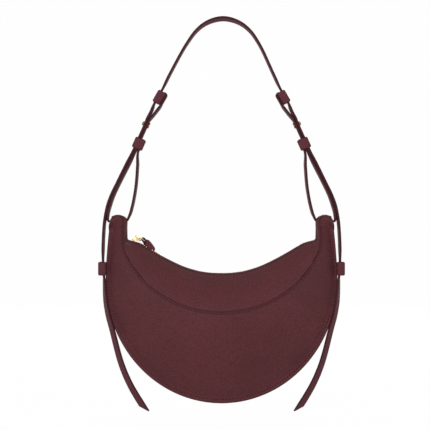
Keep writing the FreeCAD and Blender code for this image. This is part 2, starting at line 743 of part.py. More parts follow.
# Keepers and studs
def keeper(centre, tilt, length, layers):
    clear_x = layers * LAYER_STEP + CLEARANCE
    clear_y = STRAP_WIDTH + 2 * CLEARANCE
    wide_x = clear_x + 2 * KEEPER_WALL
    wide_y = clear_y + 2 * KEEPER_WALL
    outside = Part.makeBox(wide_x, wide_y, length, Vector(-wide_x / 2, -wide_y / 2, -length / 2))
    outside = outside.makeFillet(KEEPER_WALL / 2, [edge for edge in outside.Edges if is_upright(edge)])
    inside = Part.makeBox(clear_x, clear_y, length, Vector(-clear_x / 2, -clear_y / 2, -length / 2))
    loop = outside.cut(inside)
    loop.rotate(Vector(0, 0, 0), Vector(0, 1, 0), -tilt)
    loop.translate(centre)
    return loop


def is_upright(edge):
    return abs(edge.tangentAt(edge.FirstParameter).z) > 0.9


def side_keeper():
    slot_low = SIDE_STRAP_X - STRAP_THICK / 2 - CLEARANCE
    slot_high = SIDE_STRAP_X + STRAP_THICK / 2 + SIDE_KEEPER_SLACK
    clear_y = STRAP_WIDTH + 2 * CLEARANCE
    wide_y = clear_y + 2 * KEEPER_WALL
    wide_x = slot_high + KEEPER_WALL - SIDE_KEEPER_INNER_X
    corner = Vector(SIDE_KEEPER_INNER_X, -wide_y / 2, SIDE_KEEPER_LOW_Z)
    outside = Part.makeBox(wide_x, wide_y, SIDE_KEEPER_LENGTH, corner)
    outside = outside.makeFillet(KEEPER_WALL / 2, [edge for edge in outside.Edges if is_upright(edge)])
    clear_x = slot_high - slot_low
    corner = Vector(slot_low, -clear_y / 2, SIDE_KEEPER_LOW_Z)
    return outside.cut(Part.makeBox(clear_x, clear_y, SIDE_KEEPER_LENGTH, corner))


def stud():
    post_start = -0.5 * LAYER_STEP - STRAP_THICK / 2
    post_end = 0.5 * LAYER_STEP + STRAP_THICK / 2 + CLEARANCE
    across = keeper_axes(LOWER_KEEPER_TILT)[1]
    middle = lower_layer(0.5, -STUD_ABOVE_KEEPER)
    post = stud_axis_cylinder(STUD_POST_RADIUS, post_start, post_end - post_start + STUD_HEAD_THICK)
    head = stud_axis_cylinder(STUD_HEAD_RADIUS, post_end, STUD_HEAD_THICK)
    cap_foot = middle + across * (post_end + STUD_HEAD_THICK)
    cap = Part.makeCone(STUD_HEAD_RADIUS, STUD_CAP_RADIUS, STUD_CAP_HEIGHT, cap_foot, across)
    bore = stud_axis_cylinder(SCREW_RADIUS + SCREW_FIT, post_start, post_end - post_start)
    return post.fuse([head, cap]).cut(bore)


def stud_screw():
    disc_top = -0.5 * LAYER_STEP - STRAP_THICK / 2 - CLEARANCE
    disc = stud_axis_cylinder(SCREW_DISC_RADIUS, disc_top - SCREW_DISC_THICK, SCREW_DISC_THICK)
    shank_length = SCREW_DISC_THICK + 2 * STRAP_THICK
    shank = stud_axis_cylinder(SCREW_RADIUS, disc_top - SCREW_DISC_THICK, shank_length)
    return disc.fuse(shank)


def make_fittings():
    upper = keeper(upper_layer(0.5, 0.0), UPPER_KEEPER_TILT, UPPER_KEEPER_LENGTH, 2)
    lower = keeper(LOWER_CENTRE, LOWER_KEEPER_TILT, LOWER_KEEPER_LENGTH, 3)
    pieces = {"upper_keeper": upper, "lower_keeper": lower, "side_keeper": side_keeper()}
    pieces.update({"stud": stud(), "stud_screw": stud_screw()})
    for side in (LEFT, RIGHT):
        for name, piece in pieces.items():
            save(f"{SIDE_NAMES[side]}_{name}", to_side(piece, side))


os.makedirs("parts", exist_ok=True)
make_body()
make_zip()
make_strap()
make_tails()
make_hangers()
make_fittings()
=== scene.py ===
# %% [markdown]
# # Dressing a half moon shoulder bag
# The solids of the bag are already built to size, with their joints. This lesson loads them as a fixed
# frame and gives every piece its real surface: panels that bulge, stitched seams, a zip, straps, keepers.
# Everything is in metres, in the frame of the solids: X runs across the bag, -Y is its front, +Z is up.

# %% Load the frame
import json
import math
import bpy
from mathutils import Matrix, Vector, noise

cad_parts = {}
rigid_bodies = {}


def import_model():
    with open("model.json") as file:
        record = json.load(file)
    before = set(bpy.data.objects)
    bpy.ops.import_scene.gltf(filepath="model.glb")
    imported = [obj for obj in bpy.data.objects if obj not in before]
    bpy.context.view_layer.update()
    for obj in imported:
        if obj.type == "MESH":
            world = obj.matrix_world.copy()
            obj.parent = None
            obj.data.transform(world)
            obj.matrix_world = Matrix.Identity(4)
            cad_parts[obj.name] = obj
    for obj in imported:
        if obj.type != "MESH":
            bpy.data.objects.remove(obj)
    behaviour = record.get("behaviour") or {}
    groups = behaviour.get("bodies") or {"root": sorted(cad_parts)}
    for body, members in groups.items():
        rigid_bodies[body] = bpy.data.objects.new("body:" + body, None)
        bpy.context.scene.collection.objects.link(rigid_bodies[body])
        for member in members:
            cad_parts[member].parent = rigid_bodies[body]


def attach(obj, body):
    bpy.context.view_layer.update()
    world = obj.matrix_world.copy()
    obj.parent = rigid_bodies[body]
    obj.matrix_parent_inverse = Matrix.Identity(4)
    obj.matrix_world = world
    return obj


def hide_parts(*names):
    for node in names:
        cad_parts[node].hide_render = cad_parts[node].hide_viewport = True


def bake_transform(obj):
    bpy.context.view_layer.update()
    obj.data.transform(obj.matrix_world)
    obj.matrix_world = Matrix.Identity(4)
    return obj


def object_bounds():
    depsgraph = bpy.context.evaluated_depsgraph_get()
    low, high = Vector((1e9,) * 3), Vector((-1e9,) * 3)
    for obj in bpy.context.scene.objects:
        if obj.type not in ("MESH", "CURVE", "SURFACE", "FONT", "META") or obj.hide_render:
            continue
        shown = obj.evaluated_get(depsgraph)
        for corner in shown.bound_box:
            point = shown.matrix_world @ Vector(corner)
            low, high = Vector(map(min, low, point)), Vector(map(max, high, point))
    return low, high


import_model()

cad_box = [list(corner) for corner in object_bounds()]
print("box of the solids", cad_box)

# %% [markdown]
# ## Small helpers
# Blender's operators act on whatever is selected, so each new piece starts with nothing selected. A piece
# is finished by applying its modifiers, which leaves one plain mesh with its place in its points.

# %% Selecting, naming and finishing
MM = 0.001
MERGE_DISTANCE = 0.00001
SIDES = (("left", True), ("right", False))


def let_go():
    if bpy.context.mode != "OBJECT":
        bpy.ops.object.mode_set(mode="OBJECT")
    bpy.ops.object.select_all(action="DESELECT")


def take(piece):
    let_go()
    piece.select_set(True)
    bpy.context.view_layer.objects.active = piece


def named(name):
    piece = bpy.context.object
    piece.name = name
    piece.data.name = name
    return piece


def settle(piece):
    take(piece)
    bpy.ops.object.transform_apply(location=True, rotation=True, scale=True)
    return piece


def modify(piece, kind, **settings):
    take(piece)
    modifier = piece.modifiers.new(kind.title(), kind)
    for setting, value in settings.items():
        setattr(modifier, setting, value)
    bpy.ops.object.modifier_apply(modifier=modifier.name)
    return piece


def smooth(piece, angle=40.0):
    take(piece)
    bpy.ops.object.shade_smooth_by_angle(angle=math.radians(angle))
    return piece


def outwards(piece):
    take(piece)
    bpy.ops.object.mode_set(mode="EDIT")
    bpy.ops.mesh.select_all(action="SELECT")
    bpy.ops.mesh.remove_doubles(threshold=MERGE_DISTANCE)
    bpy.ops.mesh.normals_make_consistent(inside=False)
    bpy.ops.object.mode_set(mode="OBJECT")
    return piece


def round_edges(piece, rounding, angle, segments=2):
    sharp = {"limit_method": "ANGLE", "angle_limit": math.radians(angle)}
    return modify(piece, "BEVEL", width=rounding * MM, segments=segments, **sharp)


def edit_edges(piece, wanted):
    take(piece)
    bpy.ops.object.mode_set(mode="EDIT")
    bpy.ops.mesh.select_all(action="DESELECT")
    bpy.ops.object.mode_set(mode="OBJECT")
    points = piece.data.vertices
    for edge in piece.data.edges:
        edge.select = wanted(*[points[index].co for index in edge.vertices])
    bpy.ops.object.mode_set(mode="EDIT")


def finish_piece(piece, body, slot, *nodes):
    let_go()
    if nodes:
        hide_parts(*nodes)
    if body:
        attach(piece, body)
    print(piece.name, len(piece.data.polygons), "faces on", body)
    return piece


# %% [markdown]
# ## Floor, light and camera
# The bag hangs against white in soft, even light. A pale floor lies just below the tails and turns up into
# a backdrop far behind. The camera sees it nearly white, and it still takes the bag's soft shadow. Three
# lamps light the front and the top, and a fourth keeps the back from going dark.

# %% A pale floor with a backdrop
FLOOR_DROP = 0.004
FLOOR_REACH = 3.0
BACKDROP_CURVE = 0.6
FLOOR_Z = cad_box[0][2] - FLOOR_DROP
let_go()
bpy.ops.mesh.primitive_plane_add(size=2 * FLOOR_REACH, location=(0, 0, FLOOR_Z))
floor = named("studio_floor")
edit_edges(floor, lambda first, second: min(first.y, second.y) > 0.99 * FLOOR_REACH)
bpy.ops.mesh.extrude_region_move(TRANSFORM_OT_translate={"value": (0, 0, FLOOR_REACH)})
bpy.ops.object.mode_set(mode="OBJECT")
settle(floor)
modify(floor, "BEVEL", width=BACKDROP_CURVE, segments=12)
smooth(floor, 60)

WHITE_SHARE = 0.98


def seen_rays(tree):
    path = tree.nodes.new("ShaderNodeLightPath")
    total = path.outputs["Is Camera Ray"]
    for kind in ("Is Glossy Ray", "Is Transmission Ray"):
        either = tree.nodes.new("ShaderNodeMath")
        either.operation = "MAXIMUM"
        tree.links.new(total, either.inputs[0])
        tree.links.new(path.outputs[kind], either.inputs[1])
        total = either.outputs[0]
    return total


def mix_surfaces(tree, share, first, second, output):
    blend = tree.nodes.new("ShaderNodeMixShader")
    for source, socket in zip((share, first.outputs[0], second.outputs[0]), blend.inputs):
        tree.links.new(source, socket)
    tree.links.new(blend.outputs[0], tree.nodes[output].inputs["Surface"])


studio_white = bpy.data.materials.new("studio_white")
studio_white.use_nodes = True
tree = studio_white.node_tree
paper = tree.nodes["Principled BSDF"]
paper.inputs["Base Color"].default_value = (0.9, 0.9, 0.9, 1)
paper.inputs["Roughness"].default_value = 0.9
paper.inputs["Specular IOR Level"].default_value = 0.1
glow = tree.nodes.new("ShaderNodeEmission")
glow.inputs["Color"].default_value = (1, 1, 1, 1)
glow.inputs["Strength"].default_value = 1.0
share = tree.nodes.new("ShaderNodeMath")
share.operation = "MULTIPLY"
share.inputs[1].default_value = WHITE_SHARE
tree.links.new(seen_rays(tree), share.inputs[0])
mix_surfaces(tree, share.outputs[0], paper, glow, "Material Output")
floor.data.materials.append(studio_white)
print("floor at", round(FLOOR_Z, 4))

# %% Soft light from all round, and four large lamps
AIR_STRENGTH = 0.42
scene = bpy.context.scene
scene.view_settings.view_transform = "Standard"
world = bpy.data.worlds.new("studio_air")
scene.world = world
world.use_nodes = True
tree = world.node_tree
air = tree.nodes["Background"]
white = tree.nodes.new("ShaderNodeBackground")
for background, strength in ((air, AIR_STRENGTH), (white, 1.0)):
    background.inputs["Color"].default_value = (1, 1, 1, 1)
    background.inputs["Strength"].default_value = strength
mix_surfaces(tree, seen_rays(tree), air, white, "World Output")
BAG_MIDDLE = Vector((0, 0, -0.28))


def soft_lamp(name, place, size, power):
    let_go()
    bpy.ops.object.light_add(type="AREA", location=place)
    lamp = bpy.context.object
    lamp.name = name
    lamp.data.size = size
    lamp.data.energy = power
    lamp.rotation_euler = (BAG_MIDDLE - Vector(place)).to_track_quat("-Z", "Y").to_euler()
    print(name, power, "W")


soft_lamp("key_lamp", (-0.9, -2.1, -0.05), 1.6, 34)
soft_lamp("fill_lamp", (1.4, -1.6, -0.3), 1.6, 16)
soft_lamp("top_lamp", (0.2, 0.9, 1.3), 1.4, 2)
soft_lamp("back_lamp", (0.0, 2.0, 0.75), 1.0, 20)

# %% [markdown]
# The camera stands straight in front of the bag, level with the middle of the picture, and far enough away
# that the straps keep their true width. The lens is set so that the picture is as wide as the photograph's.

# %% The camera
PICTURE_MM = 473.0
CAMERA_PLACE = (-0.00715, -2.0, -0.213)
SENSOR_WIDTH = 36.0
let_go()
bpy.ops.object.camera_add(location=CAMERA_PLACE, rotation=(math.radians(90), 0, 0))
camera = bpy.context.object
camera.name = "photo_camera"
camera.data.sensor_width = SENSOR_WIDTH
camera.data.lens = SENSOR_WIDTH * -CAMERA_PLACE[1] / (PICTURE_MM * MM)
scene.camera = camera
print("lens", round(camera.data.lens, 1), "mm")

# %% [markdown]
# ## Finishes
# The bag is dark burgundy leather with a fine, even grain. A picture of leather could be wrapped round it,
# but noise and cell textures read from the object's own coordinates need no picture, have no seams and
# stay sharp close up. Each finish gets colour that wanders a little, roughness that follows the grain, and
# a bump. Where a mesh carries the attribute "edge", the finish turns darker there, as handled edges do.

# %% A workbench for node finishes
DEEP_SHARE = 0.6


def deeper(colour):
    return tuple(DEEP_SHARE * part for part in colour)


def new_finish(name, roughness, specular=0.5, metallic=0.0):
    finish = bpy.data.materials.new(name)
    finish.use_nodes = True
    shader = finish.node_tree.nodes["Principled BSDF"]
    shader.inputs["Roughness"].default_value = roughness
    shader.inputs["Specular IOR Level"].default_value = specular
    shader.inputs["Metallic"].default_value = metallic
    return finish


def add_node(finish, kind, **settings):
    node = finish.node_tree.nodes.new(kind)
    for setting, value in settings.items():
        if hasattr(node, setting):
            setattr(node, setting, value)
        else:
            node.inputs[setting.replace("_", " ").title()].default_value = value
    return node


def join(finish, source, target):
    finish.node_tree.links.new(source, target)


def noise_field(finish, place, scale, detail=3.0, roughness=0.5):
    field = add_node(finish, "ShaderNodeTexNoise", scale=scale, detail=detail, roughness=roughness)
    join(finish, place, field.inputs["Vector"])
    return field.outputs["Fac"]


def spread(finish, source, low, high, out_low, out_high):
    ranged = add_node(finish, "ShaderNodeMapRange")
    ranged.inputs["From Min"].default_value = low
    ranged.inputs["From Max"].default_value = high
    ranged.inputs["To Min"].default_value = out_low
    ranged.inputs["To Max"].default_value = out_high
    join(finish, source, ranged.inputs["Value"])
    return ranged.outputs["Result"]


def mix_colour(finish, share, first, second):
    mixed = add_node(finish, "ShaderNodeMix", data_type="RGBA")
    colour_inputs = [socket for socket in mixed.inputs if socket.type == "RGBA"]
    for value, socket in zip((first, second), colour_inputs):
        if isinstance(value, tuple):
            socket.default_value = value + (1.0,)
        else:
            join(finish, value, socket)
    join(finish, share, mixed.inputs["Factor"])
    return [socket for socket in mixed.outputs if socket.type == "RGBA"][0]


def combine(finish, operation, first, second):
    maths = add_node(finish, "ShaderNodeMath", operation=operation)
    for value, socket in zip((first, second), maths.inputs):
        if isinstance(value, float):
            socket.default_value = value
        else:
            join(finish, value, socket)
    return maths.outputs[0]


def bump(finish, height, strength, depth):
    bumps = add_node(finish, "ShaderNodeBump")
    bumps.inputs["Strength"].default_value = strength
    bumps.inputs["Distance"].default_value = depth
    join(finish, height, bumps.inputs["Height"])
    shader = finish.node_tree.nodes["Principled BSDF"]
    join(finish, bumps.outputs["Normal"], shader.inputs["Normal"])


# %% [markdown]
# Leather: cells a millimetre or so across make the pebbles, and finer noise makes the pores between them.
# The same recipe serves panels, straps and the painted edges, each with its own colours and grain.

# %% Leather for panels, straps and edges
LEATHER_SHINE = 0.12
PEBBLE_SMOOTHNESS = 0.6
PORE_SCALE = 2600.0
CLOUD_SCALE = 22.0
GRAIN_DEPTH = 0.0003


def leather(name, dark, light, grain_mm, roughness, strength):
    finish = new_finish(name, roughness, LEATHER_SHINE)
    shader = finish.node_tree.nodes["Principled BSDF"]
    place = add_node(finish, "ShaderNodeTexCoord").outputs["Object"]
    cells = add_node(finish, "ShaderNodeTexVoronoi", feature="SMOOTH_F1", scale=1000.0 / grain_mm)
    cells.inputs["Smoothness"].default_value = PEBBLE_SMOOTHNESS
    join(finish, place, cells.inputs["Vector"])
    pebbles = cells.outputs["Distance"]
    pores = noise_field(finish, place, PORE_SCALE, 4.0, 0.6)
    clouds = noise_field(finish, place, CLOUD_SCALE, 5.0, 0.55)
    tone = mix_colour(finish, spread(finish, clouds, 0.3, 0.7, 0.0, 1.0), dark, light)
    # Painted shade: the hollows between the pebbles, where the bump sinks, are darkened.
    tone = mix_colour(finish, spread(finish, pebbles, 0.25, 0.75, 0.0, 0.55), tone, deeper(dark))
    edge = add_node(finish, "ShaderNodeAttribute", attribute_name="edge").outputs["Fac"]
    worn = combine(finish, "MULTIPLY", edge, spread(finish, clouds, 0.2, 0.8, 0.35, 0.75))
    tone = mix_colour(finish, worn, tone, deeper(dark))
    join(finish, tone, shader.inputs["Base Color"])
    rough = spread(finish, clouds, 0.25, 0.75, roughness - 0.06, roughness + 0.06)
    rough = combine(finish, "ADD", rough, spread(finish, pores, 0.3, 0.7, -0.04, 0.04))
    join(finish, rough, shader.inputs["Roughness"])
    domes = combine(finish, "MULTIPLY", pebbles, -1.0)
    height = combine(finish, "ADD", domes, spread(finish, pores, 0.2, 0.8, 0.0, 0.35))
    bump(finish, height, strength, GRAIN_DEPTH)
    return finish


panel_leather = leather("panel_leather", (0.088, 0.0234, 0.0272), (0.111, 0.0304, 0.0354), 1.5, 0.6, 0.45)
strap_leather = leather("strap_leather", (0.090, 0.0205, 0.0280), (0.110, 0.0275, 0.0365), 0.7, 0.55, 0.28)
edge_paint = leather("edge_paint", (0.052, 0.0085, 0.0120), (0.066, 0.0115, 0.0160), 1.6, 0.5, 0.12)
print("three leathers")

# %% [markdown]
# Thread is twisted from two plies, so a slanted wave runs along each stitch. The zip's tape and the lining
# are woven: two waves at right angles, read from the piece's own flat map, give over and under.

# %% Thread and cloth
WAVE_TURN = 2.0 * math.pi / 20.0
PLY_SCALE = 520.0
PLY_DEPTH = 0.0001
THREAD_ROUGHNESS, THREAD_SHINE = 0.7, 0.06
CLOTH_SHINE, CLOTH_SHEEN, SHEEN_ROUGHNESS = 0.12, 0.15, 0.5
WEAVE_DEPTH = 0.00015


def thread(name, colour):
    finish = new_finish(name, THREAD_ROUGHNESS, THREAD_SHINE)
    shader = finish.node_tree.nodes["Principled BSDF"]
    place = add_node(finish, "ShaderNodeTexCoord").outputs["Object"]
    twist = add_node(finish, "ShaderNodeTexWave", wave_type="BANDS", bands_direction="DIAGONAL",
                     scale=PLY_SCALE)
    join(finish, place, twist.inputs["Vector"])
    ply = twist.outputs["Fac"]
    # Painted shade: the grooves between the plies, where the bump sinks, are darker.
    join(finish, mix_colour(finish, ply, deeper(colour), colour), shader.inputs["Base Color"])
    bump(finish, ply, 0.5, PLY_DEPTH)
    return finish


def woven(name, warp, weft, threads_per_mm, strength, roughness, slant=0.0):
    finish = new_finish(name, roughness, CLOTH_SHINE)
    shader = finish.node_tree.nodes["Principled BSDF"]
    shader.inputs["Sheen Weight"].default_value = CLOTH_SHEEN
    shader.inputs["Sheen Roughness"].default_value = SHEEN_ROUGHNESS
    flat = add_node(finish, "ShaderNodeTexCoord").outputs["UV"]
    turned = add_node(finish, "ShaderNodeMapping")
    turned.inputs["Rotation"].default_value = (0, 0, math.radians(slant))
    join(finish, flat, turned.inputs["Vector"])
    fields = []
    for direction in ("X", "Y"):
        wave = add_node(finish, "ShaderNodeTexWave", wave_type="BANDS", bands_direction=direction)
        wave.inputs["Scale"].default_value = threads_per_mm * WAVE_TURN
        wave.inputs["Distortion"].default_value = 0.4
        wave.inputs["Detail"].default_value = 1.0
        join(finish, turned.outputs["Vector"], wave.inputs["Vector"])
        fields.append(wave.outputs["Fac"])
    over = combine(finish, "MULTIPLY", fields[0], fields[1])
    slubs = noise_field(finish, flat, 0.6, 4.0)
    tone = mix_colour(finish, fields[0], warp, weft)
    tone = mix_colour(finish, spread(finish, slubs, 0.35, 0.75, 0.0, 0.45), tone, deeper(warp))
    join(finish, tone, shader.inputs["Base Color"])
    rough = spread(finish, over, 0.0, 1.0, roughness - 0.05, roughness + 0.1)
    join(finish, rough, shader.inputs["Roughness"])
    height = combine(finish, "ADD", over, spread(finish, slubs, 0.0, 1.0, 0.0, 0.2))
    bump(finish, height, strength, WEAVE_DEPTH)
    return finish


# The thread is much darker than the leather: a tonal thread, darkened further with painted shade so that
# the rows show as the dark dots of shaded stitch holes.
seam_thread = thread("seam_thread", (0.030, 0.0042, 0.0062))
lining_cloth = woven("lining_cloth", (0.050, 0.021, 0.022), (0.070, 0.032, 0.032), 2.0, 0.4, 0.75, 45.0)
zip_tape_cloth = woven("zip_tape_cloth", (0.045, 0.013, 0.016), (0.062, 0.019, 0.023), 2.4, 0.5, 0.7)
print("thread and two cloths")

# %% [markdown]
# The metal is pale gold plate over a casting: bright, with faint polishing marks and a roughness that
# wanders. The teeth are rosier than the slider. The studs are rougher, and their gold is much darker:
# painted shade for their small, shadowed heads.

# %% Gold plated metal
MARK_STRETCH = (400.0, 5000.0, 900.0)
MARK_DEPTH = 0.00005


def plated(name, dark, light, roughness):
    finish = new_finish(name, roughness, metallic=1.0)
    shader = finish.node_tree.nodes["Principled BSDF"]
    place = add_node(finish, "ShaderNodeTexCoord").outputs["Object"]
    clouds = noise_field(finish, place, 260.0, 4.0, 0.6)
    stretched = add_node(finish, "ShaderNodeMapping")
    stretched.inputs["Scale"].default_value = MARK_STRETCH
    join(finish, place, stretched.inputs["Vector"])
    marks = noise_field(finish, stretched.outputs["Vector"], 1.0, 2.0)
    join(finish, mix_colour(finish, clouds, dark, light), shader.inputs["Base Color"])
    rough = spread(finish, clouds, 0.3, 0.7, roughness - 0.06, roughness + 0.08)
    rough = combine(finish, "ADD", rough, spread(finish, marks, 0.3, 0.7, -0.04, 0.06))
    join(finish, rough, shader.inputs["Roughness"])
    bump(finish, marks, 0.12, MARK_DEPTH)
    return finish


gold_metal = plated("gold_metal", (0.50, 0.35, 0.16), (0.67, 0.50, 0.27), 0.26)
# The studs' copy of the gold is much darker: painted shade for their small, shadowed heads.
shaded_stud_gold = plated("shaded_stud_gold", (0.22, 0.12, 0.06), (0.38, 0.23, 0.11), 0.38)
rose_metal = plated("rose_metal", (0.66, 0.40, 0.27), (0.82, 0.56, 0.42), 0.34)
print("three plated metals")

# %% [markdown]
# ## The shape of the bag
# Front and back are alike. Each side has a crescent below a curved seam and a top panel above it, which
# rises to the zip. All the curves are measured on spokes from the centre of the zip's arc: a spoke has an
# angle from straight down, and a point on it has a radius and a depth. Sizes are those of the solids, in
# millimetres.

# %% Outlines on spokes
PANEL_THICK = 1.8
BODY_HALF_WIDTH = 127.4
BODY_WIDEST_Z = -285.0
BODY_LOWER_HEIGHT = 135.0
HORN_LEAN = 5.1
HORN_RISE = 67.0
HORN_LEAN_POWER = 1.6
ZIP_RADIUS = 134.0
ZIP_CENTRE_Z = -142.4
SEAM_DROP = 41.5
SEAM_END_ANGLE = 55.0
SEAM_POWER = 0.8
BODY_HALF_DEPTH = 36.0
HORN_HALF_DEPTH = 8.0
HORN_START_ANGLE = 46.5
HORN_CLOSE_ANGLE = 57.0
HORN_SIDE_ANGLE = 57.9
HORN_TIP_ANGLE = 59.15
HORN_TIP_WIDTH = 1.0
HORN_TIP_HALF_DEPTH = 2.9
INNER_EDGE = [(0.0, 0.4), (8.5, 0.5), (16.5, 0.0), (24.5, -1.0), (30.0, -1.1), (33.5, -0.8), (38.0, 0.1)]
INNER_EDGE += [(41.6, 1.7), (44.2, 4.6), (46.6, 7.7), (48.0, 5.3), (50.0, 1.1), (52.0, -2.7), (54.0, -5.5)]
INNER_EDGE += [(55.5, -5.4), (57.0, -3.6), (58.2, -1.0), (58.8, 2.0), (59.15, 6.0)]
HORN_SEAM_ANGLE = 42.0
HORN_SEAM = [(40.0, 22.7), (42.0, 20.6), (43.9, 18.4), (46.0, 15.3), (48.0, 10.9), (50.0, 6.6), (52.0, 2.6)]
HORN_SEAM += [(54.0, -1.0), (55.5, -2.6), (57.0, -1.8), (58.2, 0.4), (58.8, 3.0), (59.15, 6.4)]
TUNNEL_RADIUS = 4.96
TUNNEL_SPREAD = 3.0


def spoke(angle, point):
    turn = math.radians(angle)
    radius, y = point
    return Vector((radius * math.sin(turn), y, ZIP_CENTRE_Z - radius * math.cos(turn))) * MM


def eased(share):
    share = min(1.0, max(0.0, share))
    return share * share * (3.0 - 2.0 * share)


def weights(t):
    start, end = 2 * t ** 3 - 3 * t ** 2 + 1, 3 * t ** 2 - 2 * t ** 3
    return start, end, t ** 3 - 2 * t ** 2 + t, t ** 3 - t ** 2


def through(knots, value):
    last = len(knots) - 2
    index = next((i for i in range(last) if value <= knots[i + 1][0]), last)
    (low, start), (high, end) = knots[index], knots[index + 1]
    before, after = knots[max(0, index - 1)], knots[min(last + 1, index + 2)]
    rise = (end - before[1]) / (high - before[0]) * (high - low)
    fall = (after[1] - start) / (after[0] - low) * (high - low)
    of_start, of_end, of_rise, of_fall = weights(min(1.0, (value - low) / (high - low)))
    return start * of_start + end * of_end + rise * of_rise + fall * of_fall


def inner_radius(angle):
    return ZIP_RADIUS + through(INNER_EDGE, abs(angle))


def side_x(z):
    return BODY_HALF_WIDTH - HORN_LEAN * (max(0.0, z - BODY_WIDEST_Z) / HORN_RISE) ** HORN_LEAN_POWER


def tip_share(angle, start):
    past = max(0.0, abs(angle) - start) / (HORN_TIP_ANGLE - start)
    return math.sqrt(max(0.0, 1.0 - past * past))


def outer_radius(angle):
    sine = math.sin(math.radians(abs(angle)))
    cosine = math.cos(math.radians(angle))
    rise = ZIP_CENTRE_Z - BODY_WIDEST_Z
    if abs(angle) < math.degrees(math.atan2(BODY_HALF_WIDTH, rise)):
        square = (sine / BODY_HALF_WIDTH) ** 2 + (cosine / BODY_LOWER_HEIGHT) ** 2
        half = rise * cosine / BODY_LOWER_HEIGHT ** 2
        rest = (rise / BODY_LOWER_HEIGHT) ** 2 - 1.0
        return (half + math.sqrt(half * half - square * rest)) / square
    side = BODY_HALF_WIDTH / sine
    for _ in range(8):
        side = side_x(ZIP_CENTRE_Z - side * cosine) / sine
    tip = inner_radius(angle) + HORN_TIP_WIDTH
    return tip + (side - tip) * tip_share(angle, HORN_SIDE_ANGLE)


def body_share(angle):
    return max(0.0, 1.0 - (angle / SEAM_END_ANGLE) ** 2)


def seam_radius(angle):
    if abs(angle) > HORN_SEAM_ANGLE:
        return ZIP_RADIUS + through(HORN_SEAM, abs(angle))
    return ZIP_RADIUS + SEAM_DROP * body_share(angle) ** SEAM_POWER


def half_depth(angle):
    depth = HORN_HALF_DEPTH + (BODY_HALF_DEPTH - HORN_HALF_DEPTH) * body_share(angle)
    return max(HORN_TIP_HALF_DEPTH, depth * tip_share(angle, HORN_CLOSE_ANGLE))


def mouth(angle, middle):
    past = (abs(angle) - middle) / TUNNEL_SPREAD
    return TUNNEL_RADIUS * math.cos(past * math.pi / 2) ** 2 if abs(past) < 1.0 else 0.0


def horn_share(angle):
    return eased((abs(angle) - HORN_START_ANGLE) / (SEAM_END_ANGLE - HORN_START_ANGLE))


seam_depth = round(seam_radius(0) - ZIP_RADIUS, 1)
print("bag is", 2 * BODY_HALF_WIDTH, "mm wide, seam", seam_depth, "mm below the zip")

# %% [markdown]
# A section is a line of points across the leather, from one edge to the other. Arcs are drawn over their
# chord with a small bulge. A point is then asked for by its distance along the section, which keeps
# stitches at a true distance from an edge.

# %% Sections
EDGE_FLAT = 6.0
EDGE_FLAT_SHARE = 0.3
EDGE_GAP = 0.15
SEAM_HALF_GAP = 0.3
CRESCENT_BULGE = 0.05
TOP_BULGE = 0.08
ZIP_HALF_GAP = 4.6
HORN_HALF_GAP = 0.8
ZIP_SLOPE = 35.0
ZIP_EDGE_RUN = 8.0
ZIP_EDGE_SHARE = 0.45
OUTER_MOUTH_ANGLE = 57.3
INNER_MOUTH_ANGLE = 53.4
ARC_STEPS = 24


def arc(start, end, bulge):
    chord = (end[0] - start[0], end[1] - start[1])
    out = (chord[1], -chord[0])
    if out[0] + out[1] > 0:
        out = (-out[0], -out[1])
    half = 2.0 * math.atan(2.0 * bulge)
    points = []
    for step in range(ARC_STEPS + 1):
        turn = half * (2.0 * step / ARC_STEPS - 1.0)
        along = 0.5 + math.sin(turn) / (2.0 * math.sin(half))
        height = bulge * (math.cos(turn) - math.cos(half)) / (1.0 - math.cos(half))
        points.append(tuple(start[i] + chord[i] * along + out[i] * height for i in (0, 1)))
    return points


def crescent_section(angle):
    outer = outer_radius(angle)
    seam = (seam_radius(angle) + SEAM_HALF_GAP, -half_depth(angle))
    flat = min(EDGE_FLAT, EDGE_FLAT_SHARE * (outer - seam[0]))
    edge = -EDGE_GAP - mouth(angle, OUTER_MOUTH_ANGLE) - PANEL_THICK
    return [(outer, edge)] + arc((outer - flat, edge), seam, CRESCENT_BULGE)


def zip_edge(angle):
    share = horn_share(angle)
    slope = math.radians(ZIP_SLOPE * (1.0 - share))
    gap = ZIP_HALF_GAP + (HORN_HALF_GAP - ZIP_HALF_GAP) * eased(2.0 * share)
    gap = max(gap, mouth(angle, INNER_MOUTH_ANGLE))
    return (inner_radius(angle), -gap), (math.sin(slope), -math.cos(slope))


def top_section(angle):
    seam = (seam_radius(angle) - SEAM_HALF_GAP, -half_depth(angle))
    edge, along = zip_edge(angle)
    reach = min(ZIP_EDGE_RUN, ZIP_EDGE_SHARE * math.dist(seam, edge))
    knee = (edge[0] + along[0] * reach, edge[1] + along[1] * reach)
    return arc(seam, knee, TOP_BULGE) + [edge]


def section_length(line):
    return sum(math.dist(before, after) for before, after in zip(line, line[1:]))


def along_section(line, length):
    for before, after in zip(line, line[1:]):
        step = math.dist(before, after)
        if length <= step:
            share = length / step if step else 0.0
            return tuple(before[i] + share * (after[i] - before[i]) for i in (0, 1))
        length -= step
    return line[-1]


print("middle of a crescent is", round(section_length(crescent_section(0.0))), "mm from seam to edge")

# %% [markdown]
# ## Panels
# Leather panels are cut flat and pulled into shape by their seams. Here each starts as a flat grid, the way
# a cutter starts with a flat hide. Its columns follow the spokes and its rows cross the section, so it lies
# in the finished shape. Soft swells up to a millimetre high keep it from looking like metal. Then the grid
# gets its thickness, and its cut edges are rounded.

# %% A grid laid over sections
COLUMNS = 240
ROWS = 34
STATION_POWER = 1.35
SAG_MM = 1.1
SAG_SIZE_MM = 55.0
BACK_SHIFT = 9.0


def station(share):
    side = 2.0 * share - 1.0
    return math.copysign((1.0 - (1.0 - abs(side)) ** STATION_POWER) * HORN_TIP_ANGLE, side)


